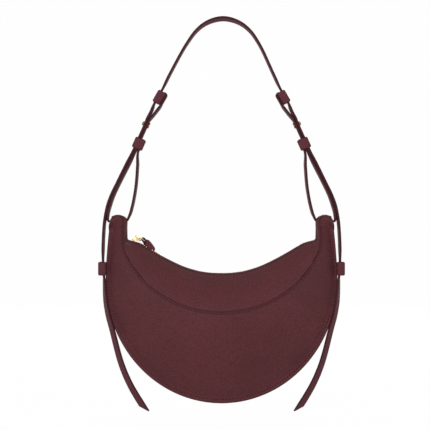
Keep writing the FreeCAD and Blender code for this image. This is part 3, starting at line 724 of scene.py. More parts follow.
def grid_sheet(name, columns, rows, place, near_edge=None):
    let_go()
    bpy.ops.mesh.primitive_grid_add(x_subdivisions=columns, y_subdivisions=rows, size=2.0, calc_uvs=True)
    sheet = named(name)
    edges = []
    for vertex in sheet.data.vertices:
        u, v = vertex.co.x / 2 + 0.5, vertex.co.y / 2 + 0.5
        vertex.co = place(u, v)
        edges.append(near_edge(u, v) if near_edge else 0.0)
    mark = sheet.data.attributes.new("edge", "FLOAT", "POINT")
    mark.data.foreach_set("value", edges)
    return sheet


def face_towards(sheet, direction):
    sheet.data.update()
    total = sum((face.normal * face.area for face in sheet.data.polygons), Vector())
    if total.dot(Vector(direction)) < 0:
        take(sheet)
        bpy.ops.object.mode_set(mode="EDIT")
        bpy.ops.mesh.select_all(action="SELECT")
        bpy.ops.mesh.flip_normals()
        bpy.ops.object.mode_set(mode="OBJECT")


def cut_leather(sheet, thickness, finish, rounding=0.45):
    sheet.data.materials.append(finish)
    sheet.data.materials.append(edge_paint)
    modify(sheet, "SOLIDIFY", thickness=thickness * MM, offset=-1.0, material_offset_rim=1)
    round_edges(sheet, rounding, 50)
    return smooth(sheet, 50)


# %% Crescent panels, front and back
BELLY_MM = 1.6
BELLY_END, BELLY_EASE = 45.0, 40.0
SWELL_RISE, SWELL_EASE = 5.0, 12.0
EDGE_WEAR_MM = 1.4


def swell(place, share, rise, fade, shift):
    wave = noise.noise(place / (SAG_SIZE_MM * MM) + Vector(shift))
    return wave * SAG_MM * (eased(share * rise) * eased((1.0 - share) * rise) * fade)


def crescent_point(angle, length, back):
    line = crescent_section(angle)
    share = length / section_length(line)
    place = spoke(angle, along_section(line, length))
    fade = eased((SEAM_END_ANGLE - abs(angle)) / SWELL_EASE)
    belly = BELLY_MM * math.sin(math.pi * share) ** 2 * eased((BELLY_END - abs(angle)) / BELLY_EASE)
    place.y -= (swell(place, share, SWELL_RISE, fade, (0, BACK_SHIFT * back, 0)) + belly) * MM
    if back:
        place.y = -place.y
    return place


def worn_edge(section, u, v):
    length = section_length(section(station(u)))
    return max(0.0, 1.0 - min(v, 1.0 - v) * length / EDGE_WEAR_MM)


def crescent_panel(name, back, node):
    def place(u, v):
        angle = station(u)
        return crescent_point(angle, v * section_length(crescent_section(angle)), back)

    def near_edge(u, v):
        return worn_edge(crescent_section, u, v)

    panel = grid_sheet(name, COLUMNS, ROWS, place, near_edge)
    face_towards(panel, (0, 1 if back else -1, 0))
    cut_leather(panel, PANEL_THICK, panel_leather)
    return finish_piece(panel, "bag", "panel_leather", node)


crescent_panel("front_crescent_leather", 0, "front_crescent_panel")
crescent_panel("back_crescent_leather", 1, "back_crescent_panel")

# %% [markdown]
# The top panel tucks under the crescent's cut edge, and one row of stitches holds both: a lapped seam. So
# the top panel's lower edge dips by nearly the thickness of the leather and runs on below the crescent.

# %% Top panels, front and back
LAP_MM = 3.5
LAP_DIP = 1.6
LAP_FADE = 0.32
LAP_END, LAP_EASE = 50.0, 8.0
TOP_SWELL_RISE, TOP_SWELL_END, TOP_SWELL_EASE = 4.0, 48.0, 14.0
TOP_SHIFT = 3.0
TOP_THICK = PANEL_THICK * 0.85


def lap_share(angle):
    return eased((LAP_END - abs(angle)) / LAP_EASE)


def top_point(angle, length, back):
    line = top_section(angle)
    lap = lap_share(angle)
    start = length - LAP_MM * lap
    if start < 0.0:
        crescent = crescent_section(angle)
        point = along_section(crescent, section_length(crescent) + start)
        dip = LAP_DIP
    else:
        point = along_section(line, start)
        dip = LAP_DIP * math.exp(-(start / LAP_FADE) ** 2) * lap
    place = spoke(angle, point)
    share = max(0.0, start) / section_length(line)
    fade = eased((TOP_SWELL_END - abs(angle)) / TOP_SWELL_EASE)
    shift = (TOP_SHIFT, BACK_SHIFT * back, 0)
    place.y += (dip - swell(place, share, TOP_SWELL_RISE, fade, shift)) * MM
    if back:
        place.y = -place.y
    return place


def top_length(angle):
    return section_length(top_section(angle)) + LAP_MM * lap_share(angle)


def top_panel(name, back, node):
    def place(u, v):
        angle = station(u)
        return top_point(angle, v * top_length(angle), back)

    def near_edge(u, v):
        return worn_edge(top_section, u, v)

    panel = grid_sheet(name, COLUMNS, ROWS, place, near_edge)
    face_towards(panel, (0, 0.6 if back else -0.6, 0.8))
    cut_leather(panel, TOP_THICK, panel_leather)
    return finish_piece(panel, "bag", "panel_leather", node)


top_panel("front_top_leather", 0, "front_top_panel")
top_panel("back_top_leather", 1, "back_top_panel")

# %% [markdown]
# ## Stitches
# One row runs just below the lapped seam and one runs round the outer edge, where front and back are sewn
# together. A third row holds each zip tape under the top panel's folded edge. One stitch is modelled, a
# short thread that dives at both ends, and copied along each row: hundreds of copies, so it has few faces.
# Each copy stands on the panel's surface, which is asked for its direction there.

# %% One stitch, and a row of copies
STITCH_LENGTH = 2.1
STITCH_PITCH = 3.3
STITCH_WIDTH = 0.75
STITCH_DIVE = 0.25
STITCH_LIFT = 0.18
BALL_RADIUS = 0.5 * MM
let_go()
bpy.ops.mesh.primitive_uv_sphere_add(
    segments=6, ring_count=4, radius=BALL_RADIUS, rotation=(0, math.radians(90), 0))
stitch = settle(named("one_stitch"))
for vertex in stitch.data.vertices:
    along = vertex.co.x / BALL_RADIUS
    vertex.co.x *= STITCH_LENGTH
    vertex.co.y *= STITCH_WIDTH
    vertex.co.z = vertex.co.z * STITCH_WIDTH - STITCH_DIVE * MM * along * along


def pattern_of(piece):
    points = [vertex.co.copy() for vertex in piece.data.vertices]
    faces = [tuple(face.vertices) for face in piece.data.polygons]
    bpy.data.objects.remove(piece)
    return points, faces


stitch_pattern = pattern_of(stitch)
print(len(stitch_pattern[1]), "faces in one stitch")


def copies_mesh(name, pattern, places):
    points, faces = pattern
    mesh = bpy.data.meshes.new(name)
    all_points = []
    all_faces = []
    for matrix in places:
        first = len(all_points)
        all_points += [matrix @ point for point in points]
        all_faces += [tuple(index + first for index in face) for face in faces]
    mesh.from_pydata(all_points, [], all_faces)
    piece = bpy.data.objects.new(name, mesh)
    bpy.context.collection.objects.link(piece)
    return piece


def frame_at(place, along, outward):
    along = along.normalized()
    side = outward.cross(along).normalized()
    outward = along.cross(side)
    turned = Matrix((along, side, outward)).transposed().to_4x4()
    return Matrix.Translation(place) @ turned


def stitch_row(name, line, panel):
    places = []
    spare = 0.0
    for before, after in zip(line, line[1:]):
        step = after - before
        while spare <= step.length:
            place = before + step * (spare / step.length)
            outward = panel.closest_point_on_mesh(place)[2]
            places.append(frame_at(place + outward * STITCH_LIFT * MM, step, outward))
            spare += STITCH_PITCH * MM
        spare -= step.length
    row = copies_mesh(name, stitch_pattern, places)
    row.data.materials.append(seam_thread)
    smooth(row, 80)
    print(len(places), "stitches")
    return finish_piece(row, "bag", "panel_leather")


# %% Rows along the seam, the outer edge and the zip
SEAM_STITCH_IN = 2.1
EDGE_STITCH_IN = 4.2
ZIP_STITCH_IN = 3.2
SEAM_STITCH_END = 53.0
EDGE_STITCH_END = 53.0
ZIP_STITCH_END = 45.0
ROW_STEPS = 400


def row_angles(end):
    return [end * (2.0 * step / ROW_STEPS - 1.0) for step in range(ROW_STEPS + 1)]


for back, side in ((0, "front"), (1, "back")):
    crescent = bpy.data.objects[f"{side}_crescent_leather"]
    top = bpy.data.objects[f"{side}_top_leather"]
    seam_line = []
    for angle in row_angles(SEAM_STITCH_END):
        length = section_length(crescent_section(angle)) - SEAM_STITCH_IN
        seam_line.append(crescent_point(angle, length, back))
    edge_line = [crescent_point(angle, EDGE_STITCH_IN, back) for angle in row_angles(EDGE_STITCH_END)]
    zip_line = []
    for angle in row_angles(ZIP_STITCH_END):
        zip_line.append(top_point(angle, top_length(angle) - ZIP_STITCH_IN, back))
    stitch_row(f"{side}_seam_stitches", seam_line, crescent)
    stitch_row(f"{side}_edge_stitches", edge_line, crescent)
    stitch_row(f"{side}_zip_stitches", zip_line, top)

# %% [markdown]
# ## Lining and pocket
# Inside hangs a cloth lining in two halves, sewn to the zip's tapes, with a flat slip pocket on the back
# half. It is hardly seen through the closed zip, but it fills the bag with the right colour. Each half is a
# grid laid over its own sections, a little inside the leather, and its flat map is scaled to millimetres
# for the weave.

# %% Cloth inside the bag
LINING_THICK = 0.8
LINING_END = 43.0
LINING_CLEAR = 2.2
LINING_FOOT = 5.0
LINING_HALF_GAP = 1.2
LINING_UNDER = 0.8
LINING_OVERLAP = 0.4
LINING_MIDDLE = ZIP_RADIUS + 60.0
TAPE_WIDTH = 9.0
TAPE_SHOW = 1.2
POCKET_LOW_SHARE = 0.30
POCKET_HIGH_SHARE = 0.72
POCKET_HALF_ANGLE = 20.0
POCKET_CLEAR = 0.4
POCKET_MIDDLE = ZIP_RADIUS + 75.0
POCKET_STEPS = 12
LINING_GRID, POCKET_GRID = (120, 30), (60, 20)


def lining_corners(angle):
    outer = outer_radius(angle)
    seam = (seam_radius(angle) + SEAM_HALF_GAP, -half_depth(angle) + PANEL_THICK + LINING_CLEAR)
    flat = min(EDGE_FLAT, EDGE_FLAT_SHARE * (outer - seam[0]))
    slope = math.radians(ZIP_SLOPE)
    low = (outer - flat - LINING_FOOT, -LINING_HALF_GAP)
    inward = PANEL_THICK + LINING_UNDER
    down = TAPE_WIDTH - TAPE_SHOW + LINING_OVERLAP
    top = (ZIP_RADIUS + inward * math.cos(slope) + down * math.sin(slope),
           -ZIP_HALF_GAP + inward * math.sin(slope) - down * math.cos(slope))
    return low, seam, top


def lining_section(angle):
    low, seam, top = lining_corners(angle)
    return arc(low, seam, CRESCENT_BULGE) + arc(seam, top, TOP_BULGE)[1:]


def scale_map(piece, width, length):
    for corner in piece.data.uv_layers.active.data:
        corner.uv = (corner.uv[0] * width, corner.uv[1] * length)


def cloth_sheet(name, grid, end, section, back, width, length):
    def place(u, v):
        angle = end * (2.0 * u - 1.0)
        line = section(angle)
        point = spoke(angle, along_section(line, v * section_length(line)))
        point.y = -point.y if back else point.y
        return point
    sheet = grid_sheet(name, *grid, place)
    scale_map(sheet, width, length)
    face_towards(sheet, (0, 1 if back else -1, 0))
    return sheet


def sew_in(sheet, node, width, length):
    sheet.data.materials.append(lining_cloth)
    modify(sheet, "SOLIDIFY", thickness=LINING_THICK * MM, offset=-1.0)
    smooth(sheet, 60)
    finish_piece(sheet, "bag", "lining_cloth", node)
    print(sheet.name, round(width), "by", round(length), "mm flat")


lining_length = section_length(lining_section(0.0))
lining_width = math.radians(2 * LINING_END) * LINING_MIDDLE
for back, side in ((0, "front"), (1, "back")):
    lining = cloth_sheet(
        f"{side}_lining_cloth", LINING_GRID, LINING_END, lining_section, back, lining_width, lining_length)
    sew_in(lining, f"{side}_lining", lining_width, lining_length)


# %% The slip pocket
def pocket_section(angle):
    low, seam, _ = lining_corners(angle)
    line = arc(low, seam, CRESCENT_BULGE)
    total = section_length(line)
    span = POCKET_HIGH_SHARE - POCKET_LOW_SHARE
    shares = [POCKET_LOW_SHARE + span * step / POCKET_STEPS for step in range(POCKET_STEPS + 1)]
    points = [along_section(line, share * total) for share in shares]
    return [(radius, y + LINING_THICK + POCKET_CLEAR) for radius, y in points]


pocket_length = section_length(pocket_section(0.0))
pocket_width = math.radians(2 * POCKET_HALF_ANGLE) * POCKET_MIDDLE
pocket = cloth_sheet(
    "inner_pocket_cloth", POCKET_GRID, POCKET_HALF_ANGLE, pocket_section, 1, pocket_width, pocket_length)
sew_in(pocket, "inner_pocket", pocket_width, pocket_length)

# %% [markdown]
# ## The zip
# The zip follows one arc along the top of the bag, and dives with the panels' edges at both ends. Two woven
# tapes are sewn under the folded edges of the top panels, and each carries a row of small metal teeth. The
# rows are half a pitch apart, so that they can mesh. The tapes are grids laid along the arc. One tooth is a
# cube with bevelled edges, and it is copied.

# %% Zip tapes
TAPE_THICK = 0.6
TAPE_GRID = (160, 8)
TAPE_UNDER = PANEL_THICK + 0.3
CHAIN_END_ANGLE = 45.8
CHAIN_RISE = [(0.0, 0.0), (20.0, 0.0), (27.0, 0.8), (31.0, 1.8), (36.0, 1.7), (39.5, 0.6), (41.6, -1.0)]
CHAIN_RISE += [(44.2, -4.2), (46.6, -8.4), (60.0, -8.4)]
SLOPE = math.radians(ZIP_SLOPE)
TAPE_TOP = (ZIP_RADIUS + TAPE_UNDER * math.cos(SLOPE) - TAPE_SHOW * math.sin(SLOPE),
            -ZIP_HALF_GAP + TAPE_UNDER * math.sin(SLOPE) + TAPE_SHOW * math.cos(SLOPE))


def tape_section(angle):
    radius = TAPE_TOP[0] + max(0.0, -through(CHAIN_RISE, abs(angle)))
    low = (radius + TAPE_WIDTH * math.sin(SLOPE), TAPE_TOP[1] - TAPE_WIDTH * math.cos(SLOPE))
    return [(radius, TAPE_TOP[1]), low]


def zip_tape(name, back, node):
    chain_length = math.radians(2 * CHAIN_END_ANGLE) * ZIP_RADIUS
    sheet = cloth_sheet(name, TAPE_GRID, CHAIN_END_ANGLE, tape_section, back, chain_length, TAPE_WIDTH)
    face_towards(sheet, (0, 0, 1))
    sheet.data.materials.append(zip_tape_cloth)
    modify(sheet, "SOLIDIFY", thickness=TAPE_THICK * MM, offset=-1.0)
    smooth(sheet, 50)
    return finish_piece(sheet, "bag", "zip_tape_cloth", node)


zip_tape("front_zip_tape", 0, "zip_tape_front")
zip_tape("back_zip_tape", 1, "zip_tape_back")

# %% One tooth, copied along both rows
TOOTH_PITCH = 2.5
TOOTH_LENGTH = 1.2
TOOTH_HEIGHT = 2.6
TOOTH_REACH = 1.5
TOOTH_ROUND = 0.3
CHAIN_GAP = 1.1
CHAIN_SINK = 0.3
ARC_STEP = math.degrees(TOOTH_PITCH / ZIP_RADIUS)


def cut_block(name, size, middle, rounding, segments=1):
    let_go()
    bpy.ops.mesh.primitive_cube_add(size=1.0, location=Vector(middle) * MM, scale=Vector(size) * MM)
    block = settle(named(name))
    if rounding:
        bpy.ops.object.mode_set(mode="EDIT")
        bpy.ops.mesh.select_all(action="SELECT")
        bpy.ops.mesh.bevel(offset=rounding * MM, segments=segments, affect="EDGES")
        bpy.ops.object.mode_set(mode="OBJECT")
    return block


def on_chain(angle):
    turn = Matrix.Rotation(math.radians(-angle), 4, "Y")
    low = Matrix.Translation((0, 0, -ZIP_RADIUS * MM))
    return Matrix.Translation((0, 0, ZIP_CENTRE_Z * MM)) @ turn @ low


tooth_middle = (0, -CHAIN_GAP / 2 - TOOTH_REACH / 2, -CHAIN_SINK - TOOTH_HEIGHT / 2)
tooth = cut_block("one_tooth", (TOOTH_LENGTH, TOOTH_REACH, TOOTH_HEIGHT), tooth_middle, TOOTH_ROUND)
tooth_pattern = pattern_of(tooth)


def tooth_place(angle):
    rise = through(CHAIN_RISE, abs(angle))
    if angle > 0:
        rise = min(0.0, rise)
    return on_chain(angle) @ Matrix.Translation((0, 0, rise * MM))


def tooth_row(name, offset, mirror, node):
    count = int((2 * CHAIN_END_ANGLE - offset * ARC_STEP) / ARC_STEP)
    half = ARC_STEP * TOOTH_LENGTH / TOOTH_PITCH / 2
    angles = [-CHAIN_END_ANGLE + (offset + step) * ARC_STEP + half for step in range(count)]
    flip = Matrix.Scale(-1, 4, (0, 1, 0)) if mirror else Matrix.Identity(4)
    row = copies_mesh(name, tooth_pattern, [flip @ tooth_place(angle) for angle in angles])
    row.data.materials.append(rose_metal)
    if mirror:
        outwards(row)
    smooth(row, 30)
    print(count, "teeth")
    return finish_piece(row, "bag", "gold_metal", node)


tooth_row("front_zip_tooth_row", 0.0, False, "zip_teeth_front")
tooth_row("back_zip_tooth_row", 0.5, True, "zip_teeth_back")

# %% End stops
STOP_ROUND = 0.5
STOP_CLEAR_ANGLE = 0.5
stop_size = (TOOTH_PITCH, ZIP_HALF_GAP, TOOTH_HEIGHT + CHAIN_SINK)
stop = cut_block("one_stop", stop_size, (0, 0, -stop_size[2] / 2), STOP_ROUND, 2)
stop_angle = CHAIN_END_ANGLE + STOP_CLEAR_ANGLE + ARC_STEP / 2
stop_places = [tooth_place(-stop_angle), tooth_place(stop_angle)]
stops = copies_mesh("zip_end_stops", pattern_of(stop), stop_places)
stops.data.materials.append(gold_metal)
smooth(stops, 30)
finish_piece(stops, "bag", "gold_metal", "zip_stops")

# %% [markdown]
# The slider is a casting: two plates that guide the rows of teeth, a web between them, and an arched
# bridge on top that carries the puller. The bridge is a small rectangle swept half round with Spin. The
# puller is a wire loop: a torus whose far half is pulled away, so that it becomes a long ring.

# %% Slider
SLIDER_ANGLE = -43.6
SLIDER_LENGTH = 8.0
SLIDER_WIDTH = 7.6
SLIDER_PLATE = 1.3
SLIDER_TAPER = 0.72
SLIDER_CORNER = 1.5
SLIDER_ABOVE = 0.3
SLIDER_BELOW = 0.6
SLIDER_UNDER = -CHAIN_SINK - TOOTH_HEIGHT - SLIDER_BELOW - SLIDER_PLATE
WEB_CLEAR = 0.6
WEB_ROUND = 0.1
BRIDGE_REACH = 2.6
BRIDGE_BAR = 1.2
BRIDGE_WIDTH = 2.4
BRIDGE_SINK = 0.2
PLATE_ROUND, BRIDGE_ROUND = 0.3, 0.25


def joined(name, pieces):
    let_go()
    for piece in pieces:
        piece.select_set(True)
    bpy.context.view_layer.objects.active = pieces[0]
    bpy.ops.object.join()
    return named(name)


def move_mesh(piece, matrix):
    piece.data.transform(matrix)
    piece.data.update()
    return piece


def round_uprights(block, corner):
    edit_edges(block, lambda first, second: abs(first.z - second.z) > 0.5 * MM)
    bpy.ops.mesh.select_mode(type="EDGE")
    bpy.ops.mesh.bevel(offset=corner * MM, segments=5, affect="EDGES")
    bpy.ops.object.mode_set(mode="OBJECT")
    return block


def plate(name, middle_height):
    block = cut_block(name, (SLIDER_LENGTH, SLIDER_WIDTH, SLIDER_PLATE), (0, 0, middle_height), 0.0)
    for vertex in block.data.vertices:
        if vertex.co.x > 0:
            vertex.co.y *= SLIDER_TAPER
    return round_edges(round_uprights(block, SLIDER_CORNER), PLATE_ROUND, 50)


def bridge(name, foot):
    let_go()
    bpy.ops.mesh.primitive_plane_add(size=1.0, location=(BRIDGE_REACH * MM, 0, foot * MM))
    bow = named(name)
    bow.scale = (BRIDGE_BAR * MM, BRIDGE_WIDTH * MM, 1)
    settle(bow)
    bpy.ops.object.mode_set(mode="EDIT")
    bpy.ops.mesh.select_all(action="SELECT")
    bpy.ops.mesh.spin(steps=16, angle=-math.pi, center=(0, 0, foot * MM), axis=(0, 1, 0))
    bpy.ops.object.mode_set(mode="OBJECT")
    return round_edges(outwards(bow), BRIDGE_ROUND, 50)


foot = SLIDER_ABOVE + SLIDER_PLATE
parts = [plate("slider_top", SLIDER_ABOVE + SLIDER_PLATE / 2)]
parts.append(plate("slider_bottom", SLIDER_UNDER + SLIDER_PLATE / 2))
web_size = (SLIDER_LENGTH / 2, CHAIN_GAP - WEB_CLEAR, SLIDER_ABOVE - SLIDER_UNDER)
web_middle = (-SLIDER_LENGTH / 4, 0, SLIDER_UNDER + web_size[2] / 2)
parts.append(cut_block("slider_web", web_size, web_middle, WEB_ROUND))
parts.append(bridge("slider_bridge", foot - BRIDGE_SINK))
slider = joined("zip_slider_casting", parts)
move_mesh(slider, on_chain(SLIDER_ANGLE))
slider.data.materials.clear()
slider.data.materials.append(gold_metal)
smooth(slider, 40)
finish_piece(slider, "zip_slider", "gold_metal", "zip_slider")

# %% Wire puller
PULLER_ALONG = 0.8
PULLER_WIRE = 1.4
PULLER_LENGTH = 5.6
PULLER_WIDTH = 5.2
PULLER_LIFT = 20.0
PULLER_CLEAR = 0.3
PULLER_HEIGHT = foot + PULLER_CLEAR + PULLER_WIRE / 2


def lifted():
    pivot = Vector((PULLER_ALONG, 0, PULLER_HEIGHT)) * MM
    turn = Matrix.Rotation(math.radians(-PULLER_LIFT), 4, "Y")
    return on_chain(SLIDER_ANGLE) @ Matrix.Translation(pivot) @ turn


let_go()
bend = PULLER_WIDTH / 2
bpy.ops.mesh.primitive_torus_add(
    major_radius=bend * MM, minor_radius=PULLER_WIRE / 2 * MM, major_segments=48, minor_segments=14)
puller = settle(named("zip_wire_puller"))
for vertex in puller.data.vertices:
    if vertex.co.x > 0.0001 * MM:
        vertex.co.x += (PULLER_LENGTH - PULLER_WIDTH) * MM
    vertex.co.x += bend * MM
puller.data.materials.append(gold_metal)
move_mesh(puller, lifted())
smooth(puller, 60)
finish_piece(puller, "zip_puller", "gold_metal", "zip_puller")

# %% [markdown]
# ## Flat leather bands
# The pull tab, the strap, its tails and the hangers are all flat bands of leather that follow a line. A
# curve with a bevel would give a round or sharp-cornered bar. A grid laid along the line can narrow, twist
# and end in a slant, and then it gets its thickness, a painted rim and rounded corners like the cut panels.

# %% A band along a line
BAND_ROWS = 6
BAND_WEAR_MM = 1.2


def band(name, line, width, thickness, twist=None, slant=None, mirror=False, rounding=0.5, wide=None):
    last = len(line) - 1

    def place(u, v):
        step = round(u * last)
        point, along = line[step]
        turn = twist(u) if twist else 0.0
        flat = Vector((-along.z, 0, along.x))
        across = Vector((0, math.cos(turn), 0)) + flat * math.sin(turn)
        reach = (2.0 * v - 1.0) * (wide(u) if wide else width) / 2
        point = point + across * reach * MM
        if slant:
            point = point + along * (slant(u) * (2.0 * v - 1.0) * MM)
        return Vector((-point.x, point.y, point.z)) if mirror else point

    def near_edge(u, v):
        return max(0.0, 1.0 - min(v, 1.0 - v) * width / BAND_WEAR_MM)

    piece = grid_sheet(name, last, BAND_ROWS, place, near_edge)
    if mirror:
        face_towards(piece, piece.data.polygons[0].normal)
    piece.data.materials.append(strap_leather)
    piece.data.materials.append(edge_paint)
    modify(piece, "SOLIDIFY", thickness=thickness * MM, offset=0.0, material_offset_rim=1)
    round_edges(piece, rounding, 60)
    outwards(piece)
    return smooth(piece, 50)


def smooth_line(points, start, end, steps=8):
    spans = [(after - before).length for before, after in zip(points, points[1:])]
    slopes = [start]
    for index in range(1, len(points) - 1):
        slopes.append((points[index + 1] - points[index - 1]) / (spans[index - 1] + spans[index]))
    slopes.append(end)
    line = []
    for index, span in enumerate(spans):
        for step in range(steps + (index == len(spans) - 1)):
            t = step / steps
            of_start, of_end, of_rise, of_fall = weights(t)
            point = points[index] * of_start + points[index + 1] * of_end
            point += slopes[index] * (span * of_rise)
            point += slopes[index + 1] * (span * of_fall)
            along = (points[index + 1] - points[index]) * (6 * t - 6 * t ** 2)
            along += slopes[index] * (span * (3 * t ** 2 - 4 * t + 1))
            along += slopes[index + 1] * (span * (3 * t ** 2 - 2 * t))
            line.append((point, along.normalized()))
    return line


# %% [markdown]
# The pull tab is one strip of leather folded round the puller's wire, with its two halves pressed together.
# So its line starts at one end, runs to the wire, goes half round it and comes back along the other side.
# Below the wire the tab is twisted, so that it shows its flat side to the front.

# %% Pull tab
TAB_LENGTH = 18.0
TAB_WIDTH = 7.0
TAB_DROOP = 27.0
TAB_LAYER = 1.5
TAB_FOLD = 1.55
TAB_NECK = 5.6
TAB_HALF = 0.8
TAB_HUMP = 0.8
TAB_TWIST = 62.0
TAB_BACK = 1.4
TAB_CLOSE = 6.0
TAB_ROUND = 0.35
TAB_END_SHARE = 0.12
NECK_START, NECK_EASE = 2.2, 3.0
TWIST_START, TWIST_EASE = 1.0, 5.0
TAB_STEPS, TAB_FOLD_STEPS = 24, 12


def tab_rise(distance):
    return TAB_HUMP * math.sin(math.pi * min(1.0, max(0.0, distance) / TAB_LENGTH))


def tab_apart(distance):
    return TAB_FOLD + (TAB_HALF - TAB_FOLD) * eased(distance / TAB_CLOSE)


def tab_line():
    distances = [TAB_LENGTH * (1.0 - step / TAB_STEPS) for step in range(TAB_STEPS + 1)]
    line = []
    for distance in distances:
        line.append(Vector((distance, 0, tab_rise(distance) - tab_apart(distance))))
    for step in range(1, TAB_FOLD_STEPS):
        turn = math.pi * step / TAB_FOLD_STEPS
        line.append(Vector((-TAB_FOLD * math.sin(turn), 0, -TAB_FOLD * math.cos(turn))))
    for distance in reversed(distances):
        line.append(Vector((distance, 0, tab_rise(distance) + tab_apart(distance))))
    line = [point * MM for point in line]
    result = []
    for index, point in enumerate(line):
        before, after = line[max(0, index - 1)], line[min(len(line) - 1, index + 1)]
        result.append((point, (after - before).normalized()))
    return result


tab_path = tab_line()


def tab_wide(u):
    distance = tab_path[round(u * (len(tab_path) - 1))][0].x / MM
    neck = TAB_NECK + (TAB_WIDTH - TAB_NECK) * eased((distance - NECK_START) / NECK_EASE)
    past = max(0.0, distance - (TAB_LENGTH - TAB_WIDTH / 2)) / (TAB_WIDTH / 2)
    return neck * max(TAB_END_SHARE, math.sqrt(max(0.0, 1.0 - past * past)))


tab = band("zip_leather_pull_tab", tab_path, TAB_WIDTH, TAB_LAYER, rounding=TAB_ROUND, wide=tab_wide)
for vertex in tab.data.vertices:
    distance = vertex.co.x / MM
    turn = math.radians(TAB_TWIST) * eased((distance - TWIST_START) / TWIST_EASE)
    height = vertex.co.z - tab_rise(distance) * MM
    y = vertex.co.y
    vertex.co.y = y * math.cos(turn) - height * math.sin(turn)
    vertex.co.z = tab_rise(distance) * MM + y * math.sin(turn) + height * math.cos(turn)
bar = Vector((PULLER_LENGTH - TAB_BACK, 0, 0)) * MM
droop = Matrix.Rotation(math.radians(TAB_DROOP), 4, "Y")
move_mesh(tab, lifted() @ Matrix.Translation(bar) @ droop)
finish_piece(tab, "zip_pull_tab", "strap_leather", "zip_pull_tab")

# %% [markdown]
# ## Strap, tails and hangers
# One long narrow strap makes the arch over the shoulder, runs down past the horns, goes through a keeper on
# each side of the bag and ends in a loose tail. A hanger, a second narrow strap, loops through the tunnel
# in each horn. The bands stand edge on to the front, as in the photograph. Their lines follow the routes of
# the solids.

# %% Routes of the bands, right side
STRAP_WIDTH = 9.0
STRAP_THICK = 2.4
LAYER_STEP = 2.7
UPPER_CENTRE, UPPER_TILT, UPPER_RUN = (66.9, -83.6), 30.0, 6.8
LOWER_CENTRE, LOWER_TILT, LOWER_RUN = (90.8, -134.6), 24.0, 6.5
STUD_ABOVE_KEEPER = 22.5
STUD_RUN = STUD_ABOVE_KEEPER + 3.4
KEEPER_RELEASE = 0.3
SIDE_STRAP_X = 130.31
SIDE_KEEPER_Z = -272.0
SIDE_KEEPER_LENGTH = 15.0
TAIL_HINGE_Z = -282.5
APEX = Vector((0, 0, 1.2 * MM))


def layer_point(centre, tilt, layer, down):
    turn = math.radians(tilt)
    x = centre[0] + math.cos(turn) * layer * LAYER_STEP + math.sin(turn) * down
    z = centre[1] + math.sin(turn) * layer * LAYER_STEP - math.cos(turn) * down
    return Vector((x, 0, z)) * MM


def upper(layer, down):
    return layer_point(UPPER_CENTRE, UPPER_TILT, layer, down)


def lower(layer, down):
    return layer_point(LOWER_CENTRE, LOWER_TILT, layer, down)


def route(start, end, shares):
    span = end - start
    between = [start + Vector((across * span.x, 0, down * span.z)) for across, down in shares]
    return [start] + between + [end]


def towards(start, end):
    return (end - start).normalized()


def straight(start, end, steps=8):
    along = towards(start, end)
    return [(start.lerp(end, step / steps), along) for step in range(steps + 1)]


ARCH_SHARES = [(0.182, 0.024), (0.334, 0.081), (0.456, 0.166), (0.536, 0.251), (0.661, 0.422)]
ARCH_SHARES += [(0.861, 0.762)]
STRAP_MIDDLE_SHARES = [(0.432, 0.491)]
STRAP_SIDE_SHARES = [(0.182, 0.105), (0.557, 0.316), (0.739, 0.421), (0.870, 0.528), (0.963, 0.694)]
SPLIT_DOWN = -3.0
upper_way = towards(upper(1, -UPPER_RUN), upper(1, UPPER_RUN))
lower_way = towards(lower(1, -STUD_RUN), lower(1, LOWER_RUN))
DOWN = Vector((0, 0, -1))
arch = smooth_line(route(APEX, upper(1, -UPPER_RUN), ARCH_SHARES), Vector((1, 0, 0)), upper_way)
half_strap = arch + straight(upper(1, -UPPER_RUN), upper(1, UPPER_RUN))[1:]
middle_route = route(upper(1, UPPER_RUN), lower(1, -STUD_RUN), STRAP_MIDDLE_SHARES)
half_strap += smooth_line(middle_route, upper_way, lower_way)[1:]
half_strap += straight(lower(1, -STUD_RUN), lower(1, SPLIT_DOWN))[1:]
mirrored = []
for point, along in reversed(half_strap):
    mirrored.append((Vector((-point.x, 0, point.z)), Vector((along.x, 0, -along.z))))
strap_line = mirrored[:-1] + half_strap
print(len(strap_line), "points along the shoulder strap")

# %% [markdown]
# At the top of the arch the strap leans, so a little of its underside faces the camera. The lean fades out
# before the keepers, where the layers lie flat on each other, and comes back a little at the studs.

# %% The arch of the strap
ARCH_LEAN = -15.0
SIDE_LEAN = -6.5
ARCH_LIFT = 1.7
ARCH_DRIFT = 1.8
STUD_LEAN = -9.0
STUD_TOP, STUD_LOW, STUD_EASE = -90.0, -112.0, 6.0
ARCH_HALF = 45.0
SIDE_LOW, SIDE_EASE = -75.0, 10.0
DRIFT_LOW, DRIFT_EASE = -70.0, 60.0


def within(height, top, low, top_ease, low_ease):
    return eased((top - height) / top_ease) * eased((height - low) / low_ease)


def near_stud(height):
    return within(height, STUD_TOP, STUD_LOW, STUD_EASE, STUD_EASE)


def arch_share(point):
    return 1.0 - eased(abs(point.x) / (ARCH_HALF * MM))


def arch_lean(u):
    point = strap_line[round(u * (len(strap_line) - 1))][0]
    sides = eased((point.z / MM - SIDE_LOW) / SIDE_EASE)
    lean = ARCH_LEAN * arch_share(point) + SIDE_LEAN * sides + STUD_LEAN * near_stud(point.z / MM)
    return math.radians(lean)


for point, along in strap_line:
    point.z += ARCH_LIFT * arch_share(point) * MM
    point.x += ARCH_DRIFT * eased((point.z / MM - DRIFT_LOW) / DRIFT_EASE) * MM
shoulder = band("shoulder_strap_leather", strap_line, STRAP_WIDTH, STRAP_THICK, twist=arch_lean)
finish_piece(shoulder, "strap", "strap_leather", "shoulder_strap")

